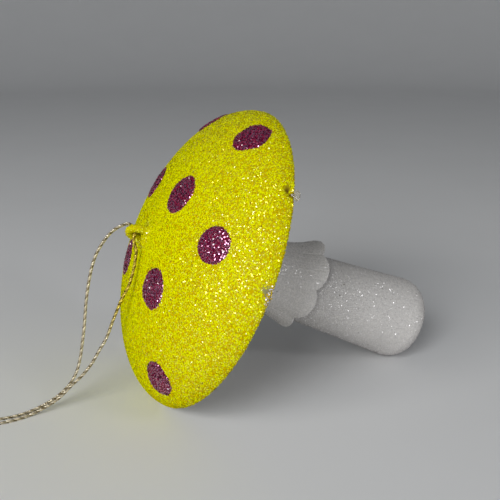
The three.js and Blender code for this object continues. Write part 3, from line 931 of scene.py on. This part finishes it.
def worn(cap, places, mark, steepness=2.2):
    """How worn the glitter is round a mark: 1 about its middle, falling to 0 at its edge.
    The edge is drawn out aslant and has small waves: it lies at the radius times
    1 + 0.4 sin 2t + 0.1 cos (5t + 1)."""
    middle, _ = rim_place(cap, mark)
    away = places - middle
    _, along = rim_axes(math.radians(mark.azimuth))
    turn = np.arctan2(away[..., 2], away @ along)
    edge = mark.radius * (1 + 0.4 * np.sin(2 * turn) + 0.1 * np.cos(5 * turn + 1))
    return np.clip(steepness - steepness * np.linalg.norm(away, axis=-1) / edge, 0, 1)


def spot_frame(cap, reach, azimuth):
    """Middle of a spot on the dome, and the three directions downhill, along and outwards."""
    distance = reach * cap.radius
    full = cap.fullness
    height = cap.height * (1 - reach ** full) ** (1 / full)
    out = unit(np.array((distance ** (full - 1) / cap.radius ** full,
                         height ** (full - 1) / cap.height ** full)))
    turn = math.radians(azimuth)
    middle = round_axis(distance, height, turn)
    outwards = round_axis(out[0], out[1], turn)
    downhill = round_axis(out[1], -out[0], turn)
    return middle, downhill, np.cross(outwards, downhill), outwards


def onto_dome(cap, points, outwards, steps=8):
    """Points moved along one direction until they lie on the dome: a few steps of Newton's
    method on (r / R)^n + (z / H)^n = 1. On the axis and at the rim plane r and z are kept
    just above 0."""
    full = cap.fullness
    for _ in range(steps):
        radius = np.maximum(np.hypot(points[..., 0], points[..., 1]), 1e-9)
        height = np.maximum(points[..., 2], 1e-6)
        excess = (radius / cap.radius) ** full + (height / cap.height) ** full - 1
        slope = full * np.stack((
            (radius / cap.radius) ** (full - 1) / cap.radius * points[..., 0] / radius,
            (radius / cap.radius) ** (full - 1) / cap.radius * points[..., 1] / radius,
            (height / cap.height) ** (full - 1) / cap.height,
        ), axis=-1)
        points = points - (excess / (slope @ outwards))[..., None] * outwards
    return points


def ragged_edge(around, rng):
    """Radius of a spot's edge as a share of its round outline: 1 plus small waves of glue.
    A wave of n turns is 0.05 / n^0.7 strong, times a normal number, and starts anywhere."""
    edge = np.ones_like(around)
    for turns in (2, 3, 5, 8, 13, 21):
        strength = 0.05 / turns ** 0.7 * rng.normal()
        edge = edge + strength * np.cos(turns * around + rng.random() * 7)
    return edge


def stem_radius(stem, height):
    """Radius of the stem: from the neck to the foot by a power of the way down."""
    share = np.clip((STEM_TOP - height) / (STEM_TOP + stem.length - stem.foot_rise), 0, 1)
    return stem.neck + (stem.foot - stem.neck) * share ** stem.taper


def stem_section(stem):
    """Outside of the stem from the middle of its foot, round the foot and up to the plate."""
    flat = section_points(np.linspace(0, stem.foot - stem.foot_round, 12), -stem.length)
    turn = np.linspace(0, math.pi / 2, 24)
    foot = section_points(stem.foot - stem.foot_round * (1 - np.sin(turn)),
                          stem.foot_rise * (1 - np.cos(turn)) - stem.length)
    heights = np.linspace(stem.foot_rise - stem.length, STEM_TOP, 70)
    side = section_points(stem_radius(stem, heights), heights)
    return np.concatenate((flat, foot[1:], side[1:]))


def skirt_grid(stem, rows, columns):
    """Closed section of the skirt carried round the stem: its inside, its rounded hem and its
    outside. The skirt hugs the neck and stands out by a power of the way down, most on the side
    that faces up. Towards its hem it swells into round lobes with sharp valleys between them,
    a power of |cos|, and the hem waves along. Its wall grows from 0.4 to 0.9 of the full
    thickness. Fine pleats run down it, from two cosines of the azimuth that drift to and fro."""
    azimuth = full_turn(columns)
    down = np.linspace(0, 1, rows)
    turn = np.linspace(0, math.pi, 9)[1:-1]
    share = np.concatenate((down, np.ones(len(turn)), down[::-1]))[:, None]
    outside = np.concatenate((np.zeros(rows), (1 - np.cos(turn)) / 2, np.ones(rows)))[:, None]
    past = np.concatenate((np.zeros(rows), np.sin(turn) / 2, np.zeros(rows)))[:, None]
    lobe = np.abs(np.cos(stem.skirt_folds / 2 * (azimuth + FOLD_TURN))) ** LOBE_ROUNDNESS
    edge = stem.skirt_drop + HEM_SLANT * np.cos(azimuth) + HEM_WAVE * (lobe - 0.7)
    wall = stem.skirt_wall * (0.4 + 0.5 * share ** 2)
    height = STEM_TOP - (STEM_TOP + edge) * share - wall * past
    lean = HEM_LEAN * np.cos(azimuth)
    flare = share ** FLARE_POWER * (stem.skirt_flare + lean + stem.fold_depth * (2 * lobe - 1))
    pleats = np.cos(8 * stem.skirt_folds * azimuth + 3 * np.sin(5 * azimuth) + 2 * share)
    pleats = pleats + np.cos(79 * azimuth - 4 * np.sin(3 * azimuth))
    pleats = PLEAT_DEPTH * share * outside * pleats
    radius = stem_radius(stem, height) + SKIRT_GAP + flare + wall * outside + pleats
    return round_axis(radius, height, azimuth)


# Operators


class ORNAMENT_OT_stage(bpy.types.Operator):
    """Sets the camera at the photograph's angle, a plain pale floor and soft lights"""

    bl_idname = "ornament.stage"
    bl_label = "Stage"

    def execute(self, context):
        stage = context.scene.ornament.stage
        self.camera(context, stage)
        self.floor(context, stage)
        self.lights(context, stage)
        return {"FINISHED"}

    def camera(self, context, stage):
        """The camera stands where the photograph was taken from."""
        data = bpy.data.cameras.new("camera")
        data.angle = stage.field
        camera = bpy.data.objects.new("camera", data)
        camera.location = stage.camera
        camera.rotation_euler = (math.pi / 2 - stage.pitch, 0, -stage.yaw)
        context.scene.collection.objects.link(camera)
        context.scene.camera = camera

    def floor(self, context, stage):
        """A round floor whose edge rises in a quarter circle."""
        turn = np.linspace(0, math.pi / 2, 16)
        rise = section_points(stage.floor_radius + stage.floor_cove * np.sin(turn),
                              stage.floor_cove * (1 - np.cos(turn)))
        flat = section_points(np.linspace(0, stage.floor_radius, 12), 0.0)
        section = np.concatenate((flat, rise[1:]))
        grid = round_axis(section[:, :1], section[:, 1:], full_turn(96))
        points, faces = surfaces([grid])
        mesh = bpy.data.meshes.new("floor")
        mesh.from_pydata(points, [], faces)
        mesh.shade_smooth()
        mesh.materials.append(matt_board("matt_painted_board", stage.floor))
        floor = bpy.data.objects.new("floor", mesh)
        context.scene.collection.objects.link(floor)

    def lights(self, context, stage):
        """Compact lights from the upper left and the right make the sparkle, and a broad one from
        the front left gives most of the light. A lamp has a direction and a distance from the
        ornament, a diameter, a power and a tint."""
        world = bpy.data.worlds.new("even_sky")
        world.use_nodes = True
        background = world.node_tree.nodes["Background"]
        background.inputs["Color"].default_value = (0.94, 0.97, 1.0, 1.0)
        background.inputs["Strength"].default_value = stage.sky
        context.scene.world = world
        context.scene.view_settings.view_transform = "Standard"
        lamps = (
            ("key_light", (-0.8, -0.34, 0.48), 0.6, 0.18, stage.key_power, (1.0, 0.985, 0.95)),
            ("side_light", (0.42, -0.76, 0.5), 0.7, 0.14, stage.side_power, (1.0, 1.0, 1.0)),
            ("front_light", (-0.62, -0.62, 0.5), 1.4, 0.62, stage.front_power, (0.98, 1.0, 1.0)),
        )
        middle = np.array((0.0, 0.0, 0.03))
        for name, direction, distance, size, watts, tint in lamps:
            data = bpy.data.lights.new(name, "AREA")
            data.shape = "DISK"
            data.size = size
            data.energy = watts
            data.color = tint
            lamp = bpy.data.objects.new(name, data)
            lamp.location = middle + distance * unit(np.array(direction))
            lamp.rotation_euler = lamp.location.to_track_quat("Z", "Y").to_euler()
            lamp.visible_camera = False
            context.scene.collection.objects.link(lamp)


class ORNAMENT_OT_cord(bpy.types.Operator):
    """Twists the hanging cord from metallised yarns, with its knot and cut ends"""

    bl_idname = "ornament.cord"
    bl_label = "Hanging cord"

    def execute(self, context):
        settings = context.scene.ornament
        cord = settings.cord
        material = metallised_yarn("gold_metallised_yarn", cord.gold, cord.shade, cord.reflected_yellow)
        line, joint = self.route(settings)
        yarns = self.twist(cord, line, SIDEWAYS)
        knot = self.knot(cord, material)
        # A strand has its part of the line, its CAD nodes, the length of line from the eyelet that is
        # painted with the cap's yellow reflection, and the length over which that painted reflection fades.
        for name, part, nodes, reflection_reach, fade in (
            ("cord_front", slice(joint, None, -1), ("cord_front_leg",), 32 * MM, 12 * MM),
            ("cord_rear", slice(joint, None), ("cord_turn", "cord_rear_leg"), 5 * MM, 2 * MM),
        ):
            path = line[part]
            tubes = [closed_ends(yarn[part]) for yarn in yarns]
            # Painted reflection: the cap's yellow, fading along the strand away from the eyelet.
            dust_and_reflection = np.clip((reflection_reach - along_line(path)) / fade, 0, 1)
            made = self.cord_piece(name, tubes, material, nodes, dust_and_reflection, part.step == -1)
        return {"FINISHED"}

    def cord_piece(self, name, tubes, material, nodes, dust_and_reflection=None, turned=False):
        """Tubes of yarn as one piece. Each point is marked with how bright its ply is painted, and how
        much painted yellow reflection of the cap it carries, which may be given for the rings between a tube's
        ends."""
        points, faces = surfaces(tubes)
        points[:, 2] = np.maximum(points[:, 2], FLOOR_GAP)
        sizes = [tube.shape[0] * tube.shape[1] for tube in tubes]
        # Painted light and shade: each tube in turn is dull, half bright or bright, to show the twist.
        painted_ply_shade = np.arange(len(tubes)) % 3 / 2
        marks = {"ply": np.repeat(painted_ply_shade, sizes), "dust_and_reflection": np.zeros(len(points))}
        if dust_and_reflection is not None:
            rings = np.repeat(np.pad(dust_and_reflection, 1, mode="edge"), tubes[0].shape[1])
            marks["dust_and_reflection"] = np.tile(rings, len(tubes))
        return piece(name, points, faces[:, ::-1] if turned else faces, material,
                     "hanging_cord", nodes, marks=marks)

    def route(self, settings):
        """The whole loop as one smooth line from the knot through the eyelet to the knot again,
        and the index of the point in front of the eyelet where the two strands are parted."""
        eyelet, cord = settings.eyelet, settings.cord
        through = math.cos(eyelet.turn) * UPWARD + math.sin(eyelet.turn) * SIDEWAYS
        bend = eyelet.wire + CLEARANCE + cord.diameter / 2
        turn = np.linspace(0, math.pi / 2, 5)
        runs = np.concatenate((
            ((-bend, -CORD_TURN_FRONT_RUN), (-bend, -CORD_TURN_FRONT_RUN / 2)),
            section_points(-bend * np.cos(turn), bend * np.sin(turn)),
            ((CORD_TURN_REAR_RUN, bend),),
        ))
        over = runs[:, :1] * OUTWARD + runs[:, 1:] * through
        points = BEAM + np.concatenate((CORD_FRONT_POINTS[::-1], over, CORD_REAR_POINTS))
        line = smooth_line(points, CORD_STEP)
        start = BEAM + over[0]
        return line, int(np.argmin(np.linalg.norm(line - start, axis=1)))

    def twist(self, cord, line, reference):
        """Each yarn is a thin tube on a helix round the line. The yarns touch each other, so
        the helix has radius e = 2 p / sqrt(3) for three yarns of radius p, and e + p = d / 2."""
        spread = 1 / math.sin(math.pi / cord.plies)
        yarn = cord.diameter / 2 / (1 + spread)
        first, second = line_frames(line, reference)
        turns = along_line(line) / cord.pitch * 2 * math.pi
        tubes = []
        for ply in range(cord.plies):
            around = (turns + 2 * math.pi * ply / cord.plies)[:, None]
            centre = line + spread * yarn * (np.cos(around) * first + np.sin(around) * second)
            tubes.append(swept(centre, YARN_SWELL * yarn, YARN_SIDES, reference))
        return tubes

    def knot(self, cord, material):
        """An overhand knot: a trefoil x = sin t + 2 sin 2t, y = cos t - 2 cos 2t, z = -sin 3t,
        pressed to the knot's size, with two cut ends that fray into loose yarns."""
        rng = np.random.default_rng(CORD_SEED)
        t = np.linspace(0, 2 * math.pi, 121)
        trefoil = np.stack((np.sin(t) + 2 * np.sin(2 * t), np.cos(t) - 2 * np.cos(2 * t),
                            -np.sin(3 * t)), axis=1)
        size = np.array((cord.knot_length, cord.knot_width, cord.knot_height)) - cord.diameter
        line = BEAM + KNOT_CENTRE + trefoil / np.ptp(trefoil, axis=0) * size
        tubes = [closed_ends(tube) for tube in self.twist(cord, line, np.array((0.0, 0.0, 1.0)))]
        for side in (-1, 1):
            share = np.linspace(0, 1, TAIL_POINTS)[:, None]
            start = BEAM + KNOT_CENTRE - (cord.knot_length / 4, -side * 0.6 * cord.diameter, 0)
            way = np.array((-cord.tail - cord.knot_length / 4, side * TAIL_SPREAD, -TAIL_DROP))
            tail = start + share * way * (1, 1, 0) + np.minimum(2 * share, 1) * way * (0, 0, 1)
            tubes += [closed_ends(tube) for tube in self.twist(cord, tail[:TWIST_END], SIDEWAYS)]
            loose = np.linspace(0, 1, TAIL_POINTS - FRAY_START)[:, None] ** 1.5
            for _ in range(FRAY_HAIRS):
                spread = rng.normal(scale=FRAY_SPREAD, size=3) * (0.3, 1, 0.6)
                hair = tail[FRAY_START:] + loose * spread
                tubes.append(closed_ends(swept(hair, HAIR_RADIUS, sides=5, reference=SIDEWAYS)))
        return self.cord_piece("cord_knot_tied", tubes, material, ("cord_knot",))


class ORNAMENT_OT_cap(bpy.types.Operator):
    """Moulds the cap's shell and covers it in yellow glitter, leaving room for the spots"""

    bl_idname = "ornament.cap"
    bl_label = "Glittered cap"

    def execute(self, context):
        cap = context.scene.ornament.cap
        rows, columns = 150, 288
        outside = cap_outside(cap, rows, columns)
        inner = dome_section(cap, cap.radius - cap.wall, cap.height - cap.wall, count=24)[::-1]
        inside = round_axis(inner[:, :1], inner[:, 1:], full_turn(columns))
        points, faces = surfaces([np.concatenate((outside, inside))])
        stains = {"chipped": cap.bare, "smeared": cap.smeared}
        bed = glitter_bed("yellow_glitter_bed", cap.bed, cap.flake_size, stains)
        marks = {"chipped": worn(cap, points, RIM_CHIP), "smeared": worn(cap, points, RIM_SMEAR)}
        piece("cap_dome", laid(points), faces, bed, nodes=("cap_shell",),
              marks=marks)
        self.glitter(cap, outside)
        return {"FINISHED"}

    def glitter(self, cap, outside):
        """Flakes all over the outside, save under the spots and where the rim is bare.
        The golden share grows towards the front, painting the warmer light that falls there, and the
        glossy and metallised ones grow towards the rim on the upper front, placing more glints where the
        highlights fall. With u and b the ways up and back as shares of the radius, warmth is -1.2 b - 0.1,
        and sparkle is the share of the way out from 0.42 to 0.84, times 0.3 - 1.1 b + 0.9 u, each kept
        between 0 and 1."""
        rng = np.random.default_rng(CAP_SEED)
        places, normals = scatter(outside, cap.flake_count, rng)
        chance = rng.random(cap.flake_count)
        keep = worn(cap, places, RIM_CHIP) < CHIP_WEAR
        keep &= SMEAR_LOSS * worn(cap, places, RIM_SMEAR) < chance
        for _, reach, azimuth, diameter in SPOTS:
            middle, _, _, _ = spot_frame(cap, reach, azimuth)
            keep &= np.linalg.norm(places - middle, axis=1) > SPOT_OVERLAP * diameter / 2
        places, normals = places[keep], normals[keep]
        up, back = places[:, 0] / cap.radius, places[:, 1] / cap.radius
        # Painted warm light: more golden flakes towards the front.
        painted_warmth = np.clip(-1.2 * back - 0.1, 0, 1)
        # Painted highlights: more glossy and metallised flakes towards the rim on the upper front, where the
        # highlights fall.
        sparkle = np.clip((np.hypot(up, back) - 0.42) / 0.42, 0, 1)
        sparkle = sparkle * np.clip(0.3 - 1.1 * back + 0.9 * up, 0, 1)
        base, sparkling, warm, widths, tilts = np.array(list(YELLOW_MIX.values())).T
        shares = base + np.outer(sparkle, sparkling) + np.outer(painted_warmth, warm)
        flake_pieces("cap_flakes", places, normals, cap.flake_size * widths,
                     cap.flake_tilt * tilts, yellow_films(cap), rng, shares)


class ORNAMENT_OT_spots(bpy.types.Operator):
    """Lays the plum glitter spots on the cap"""

    bl_idname = "ornament.spots"
    bl_label = "Plum spots"

    def execute(self, context):
        settings = context.scene.ornament
        cap, spots = settings.cap, settings.spots
        rng = np.random.default_rng(SPOT_SEED)
        bed = glitter_bed("plum_glitter_bed", spots.bed, spots.flake_size)
        all_places, all_normals = [], []
        for place, reach, azimuth, diameter in SPOTS:
            grid = self.disc(cap, spots, reach, azimuth, diameter, rng)
            moulded(f"plum_spot_{place}", [grid], bed, (f"glitter_spot_{place}",))
            count = int(SPOT_COVER * (diameter / 2) ** 2 / spots.flake_size ** 2)
            places, normals = scatter(grid[3:], count, rng)
            all_places.append(places)
            all_normals.append(normals)
        shares, widths, tilts = np.array(list(PLUM_MIX.values())).T
        flake_pieces("spot_flakes", np.concatenate(all_places), np.concatenate(all_normals),
                     spots.flake_size * widths, cap.flake_tilt * tilts, plum_films(spots),
                     rng, shares)
        return {"FINISHED"}

    def disc(self, cap, spots, reach, azimuth, diameter, rng):
        """Rings of a thin disc pressed onto the dome: flat underneath and domed on top. With s
        the share of the way out to the ragged outline, the height falls as sqrt(1 - s^6)."""
        around = -full_turn(72)
        share = np.concatenate(((0.0, 0.6, 1.0, 1.0), np.sqrt(np.linspace(1, 0, 12))))[:, None]
        top = np.concatenate((np.zeros(3), np.sqrt(np.clip(1 - share[3:, 0] ** 6, 0, 1))))[:, None]
        middle, downhill, along, outwards = spot_frame(cap, reach, azimuth)
        radius = diameter / 2 * ragged_edge(around, rng) * share
        flat = (middle + (radius * np.cos(around))[..., None] * downhill
                + (radius * np.sin(around))[..., None] * along)
        lift = SPOT_SEAT + spots.thickness * np.broadcast_to(top, radius.shape)
        return onto_dome(cap, flat, outwards) + lift[..., None] * outwards


class ORNAMENT_OT_underside(bpy.types.Operator):
    """Moulds the gilled plate under the cap"""

    bl_idname = "ornament.underside"
    bl_label = "Gilled plate"

    def execute(self, context):
        stem = context.scene.ornament.stem
        low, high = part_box("cap_underside")
        outer = (high.y - low.y) / 2
        azimuth = full_turn(10 * stem.gills)
        socket = stem.neck - SPIGOT_STEP + CLEARANCE
        reach = np.linspace(socket, outer - PLATE_BEVEL, 60)
        rise = np.clip((reach - GILL_START) / GILL_RISE, 0, 1)
        fade = rise * np.clip((outer - reach) / GILL_END, 0, 1)
        fade = fade * fade * (3 - 2 * fade)
        ridge = (0.5 + 0.5 * np.cos(stem.gills * azimuth)) ** GILL_SHARPNESS
        face = PLATE_RECESS - stem.gill_depth * fade[:, None] * ridge
        under = round_axis(reach[:, None], face, azimuth)
        top = PLATE_RECESS + PLATE_THICKNESS
        collar = top + COLLAR_HEIGHT
        back = np.array((
            (outer, PLATE_RECESS + PLATE_BEVEL), (outer, top), (socket + COLLAR_WALL, top),
            (socket + COLLAR_WALL, collar), (socket, collar),
        ))
        grid = np.concatenate((under, round_axis(back[:, :1], back[:, 1:], azimuth)))
        white = frosted_white(
            "white_moulded_plate", stem.plate, stem.dust_and_reflection, grain=0.5 * MM, speck_spacing=22 * MM,
        )
        moulded("gilled_plate", [grid], white, ("cap_underside",),
                turned=True, close_rows=True)
        rng = np.random.default_rng(PLATE_SEED)
        frost_flakes("plate_flakes", under[::-1], PLATE_FLAKES, stem,
                     (0.15, stem.flake_size, 18), rng)
        return {"FINISHED"}


class ORNAMENT_OT_stem(bpy.types.Operator):
    """Moulds the stem and frosts it with fine clear glitter"""

    bl_idname = "ornament.stem"
    bl_label = "Frosted stem"

    def execute(self, context):
        stem = context.scene.ornament.stem
        section = stem_section(stem)
        radius, height = section[:, :1], section[:, 1:]
        azimuth = full_turn(144)
        rng = np.random.default_rng(STEM_SEED)
        waves = slow_waves(height / STEM_WAVE_LENGTH, azimuth, rng)
        rise = np.clip((height + stem.length - STEM_WAVE_START) / STEM_WAVE_RISE, 0, 1)
        outside = round_axis(radius + STEM_WAVE_HEIGHT * waves * rise, height, azimuth)
        top = round_axis(np.zeros((1, 1)), STEM_TOP, azimuth)
        grid = np.concatenate((outside, top))
        # Painted shade on the stem's lacquer: darker at the neck under the cap, lighter at the foot.
        white = frosted_white(
            "white_lacquered_stem", stem.white, stem.dust_and_reflection, grain=0.4 * MM, speck_spacing=5.2 * MM,
            shade_ends=STEM_PAINTED_SHADE,
        )
        moulded("frosted_stem", [grid], white, ("stem",), turned=True)
        frost_flakes("stem_flakes", outside[::-1], stem.flake_count, stem,
                     (0.42, stem.glint_size, 25), rng)
        return {"FINISHED"}


class ORNAMENT_OT_skirt(bpy.types.Operator):
    """Hangs the frilled skirt round the neck of the stem"""

    bl_idname = "ornament.skirt"
    bl_label = "Frosted skirt"

    def execute(self, context):
        stem = context.scene.ornament.stem
        rows, columns = 40, 504
        grid = skirt_grid(stem, rows, columns)
        frost = frosted_white(
            "frosted_skirt_film", stem.skirt, stem.dust_and_reflection, grain=0.45 * MM, speck_spacing=7 * MM,
        )
        moulded("frilled_skirt", [grid], frost, ("stem_skirt",),
                turned=True, close_rows=True)
        rng = np.random.default_rng(SKIRT_SEED)
        frost_flakes("skirt_flakes", grid[rows:][::-1], stem.flake_count // 3, stem,
                     (0.2, stem.glint_size, 22), rng)
        return {"FINISHED"}


class ORNAMENT_OT_eyelet(bpy.types.Operator):
    """Moulds the eyelet at the top of the cap and covers it in the cap's glitter"""

    bl_idname = "ornament.eyelet"
    bl_label = "Eyelet"

    def execute(self, context):
        settings = context.scene.ornament
        cap, eyelet = settings.cap, settings.eyelet
        arch, mound = self.arch(cap, eyelet), self.mound(cap, eyelet)
        bed = bpy.data.materials["yellow_glitter_bed"]
        moulded("hanger_loop", [arch, mound], bed, ("hanger_eyelet",))
        rng = np.random.default_rng(EYELET_SEED)
        on_arch, on_mound = eyelet.flake_count * 2 // 5, eyelet.flake_count * 3 // 5
        spread = [scatter(arch[1:-1], on_arch, rng), scatter(mound, on_mound, rng)]
        places, normals = (np.concatenate(both) for both in zip(*spread))
        flake_pieces("eyelet_flakes", places, normals, EYELET_WIDTH * cap.flake_size, cap.flake_tilt,
                     yellow_films(cap), rng, EYELET_SHARES)
        return {"FINISHED"}

    def arch(self, cap, eyelet):
        """A bar bent over the hole: straight legs and a half circle. Its radius swells towards
        the feet as exp(-h / fall), so that the bar runs out into the mound."""
        ring = eyelet.hole + eyelet.wire
        centre = cap.height + eyelet.rise
        turn = np.linspace(0, math.pi, 40)
        bow = section_points(-ring * np.cos(turn), centre + ring * np.sin(turn))
        foot = cap.height - ARCH_FOOT_DEPTH
        line = even_line(np.concatenate((((-ring, foot),), bow, ((ring, foot),))), count=64)
        across = np.array((-math.sin(eyelet.turn), math.cos(eyelet.turn), 0))
        through = np.array((math.cos(eyelet.turn), math.sin(eyelet.turn), 0))
        path = line[:, :1] * across + line[:, 1:] * (0, 0, 1)
        swell = ARCH_SWELL * np.exp(-(line[:, 1] - cap.height) / ARCH_SWELL_FALL)
        radius = eyelet.wire + swell.clip(0, ARCH_SWELL)
        return closed_ends(swept(path, radius, sides=20, reference=through))

    def mound(self, cap, eyelet):
        """A low mound under the arch: with s the share of the way out, its height above the dome
        falls as (1 - s)^2 (1 + 2 s), so that it meets the dome in a soft fillet."""
        share = np.linspace(0, 1, 16)
        reach = eyelet.base * share
        dome = cap.height * (1 - (reach / cap.radius) ** cap.fullness) ** (1 / cap.fullness)
        height = dome + MOUND_HEIGHT * (1 - share) ** 2 * (1 + 2 * share) - MOUND_SINK
        return round_axis(reach[:, None], height[:, None], full_turn(48))


class ORNAMENT_OT_glue(bpy.types.Operator):
    """Squeezes out the bead and the smear of glue at the rim, with stray flakes in the smear"""

    bl_idname = "ornament.glue"
    bl_label = "Glue at the rim"

    def execute(self, context):
        settings = context.scene.ornament
        cap, glue = settings.cap, settings.glue
        rng = np.random.default_rng(GLUE_SEED)
        clear = hot_melt("clear_hot_melt_glue", glue.tint)
        azimuth = math.radians(RIM_BEAD_AZIMUTH)
        middle = round_axis(cap.radius + CLEARANCE + glue.thickness / 2, 0.0, azimuth)
        bead_size = (glue.thickness, glue.bead_length, glue.height)
        bead = self.lump(middle, azimuth, bead_size, rng)
        by_chip, _ = rim_place(cap, GLUE_FLECK)
        fleck = self.lump(by_chip, azimuth, FLECK_SIZE, rng)
        moulded("rim_bead", [bead, fleck], clear, ("rim_glue_bead",))
        smear, _ = rim_place(cap, RIM_SMEAR)
        patch = self.lump(smear, math.radians(RIM_SMEAR.azimuth), SMEAR_SIZE, rng)
        moulded("rim_smear", [patch], clear)
        places, normals = scatter(patch, SMEAR_FLAKES, rng)
        stray = {**white_films(settings.stem), **yellow_films(cap)}
        flake_pieces("smear_flakes", places, normals, STRAY_WIDTH * cap.flake_size, STRAY_TILT,
                     {shade: stray[shade] for shade in STRAY_SHARES},
                     rng, tuple(STRAY_SHARES.values()))
        return {"FINISHED"}

    def lump(self, middle, azimuth, size, rng):
        """A lumpy ball stretched to a size outwards, along the rim and up: rings of latitude and
        longitude with slow waves."""
        out, along = rim_axes(azimuth)
        latitude = np.linspace(math.pi / 2, -math.pi / 2, 17)[:, None]
        longitude = full_turn(28)
        waves = slow_waves(3 * latitude, longitude, rng)
        reach = 0.5 * (1 + GLUE_LUMPINESS * waves * np.cos(latitude))
        ball = round_axis(reach * np.cos(latitude), reach * np.sin(latitude), longitude)
        axes = np.stack((out * size[0], along * size[1], np.array((0, 0, size[2]))))
        return middle + ball @ axes


class ORNAMENT_OT_inner(bpy.types.Operator):
    """Gives the pieces inside the cap their finishes"""

    bl_idname = "ornament.inner"
    bl_label = "Inner pieces"

    def execute(self, context):
        stem = context.scene.ornament.stem
        washer = frosted_white(
            "white_moulded_washer", stem.plate, stem.dust_and_reflection, grain=0.5 * MM, speck_spacing=30 * MM,
        )
        finishes = {"neck_glue": bpy.data.materials["clear_hot_melt_glue"], "eyelet_washer": washer}
        for node, material in finishes.items():
            materials = frame["nodes"][node].data.materials
            materials.clear()
            materials.append(material)
        return {"FINISHED"}


class ORNAMENT_PT_sidebar(bpy.types.Panel):
    """Lists the steps that dress the ornament and their settings"""

    bl_idname = "ORNAMENT_PT_sidebar"
    bl_label = "Mushroom Ornament"
    bl_space_type = "VIEW_3D"
    bl_region_type = "UI"
    bl_category = "Ornament"

    def draw(self, context):
        settings = context.scene.ornament
        for step in STEPS:
            self.layout.operator(step.bl_idname)
        for group in settings.bl_rna.properties:
            if group.type != "POINTER" or group.identifier == "rna_type":
                continue
            box = self.layout.box()
            box.label(text=group.name)
            values = getattr(settings, group.identifier)
            for value in values.bl_rna.properties:
                if value.identifier not in {"rna_type", "name"}:
                    box.prop(values, value.identifier)


GROUPS = (
    CapSettings, SpotSettings, StemSettings, EyeletSettings, GlueSettings, CordSettings,
    StageSettings, OrnamentSettings,
)
STEPS = (
    ORNAMENT_OT_stage, ORNAMENT_OT_cord, ORNAMENT_OT_cap, ORNAMENT_OT_spots, ORNAMENT_OT_eyelet,
    ORNAMENT_OT_underside, ORNAMENT_OT_stem, ORNAMENT_OT_skirt, ORNAMENT_OT_glue, ORNAMENT_OT_inner,
)


def register():
    for kind in (*GROUPS, *STEPS, ORNAMENT_PT_sidebar):
        bpy.utils.register_class(kind)
    bpy.types.Scene.ornament = PointerProperty(type=OrnamentSettings)


def unregister():
    del bpy.types.Scene.ornament
    for kind in reversed((*GROUPS, *STEPS, ORNAMENT_PT_sidebar)):
        bpy.utils.unregister_class(kind)


def main():
    """Registers the add-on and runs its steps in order."""
    register()
    bpy.ops.ornament.stage()
    bpy.ops.ornament.cord()
    bpy.ops.ornament.cap()
    bpy.ops.ornament.spots()
    bpy.ops.ornament.eyelet()
    bpy.ops.ornament.underside()
    bpy.ops.ornament.stem()
    bpy.ops.ornament.skirt()
    bpy.ops.ornament.glue()
    bpy.ops.ornament.inner()


if __name__ == "__main__":
    main()
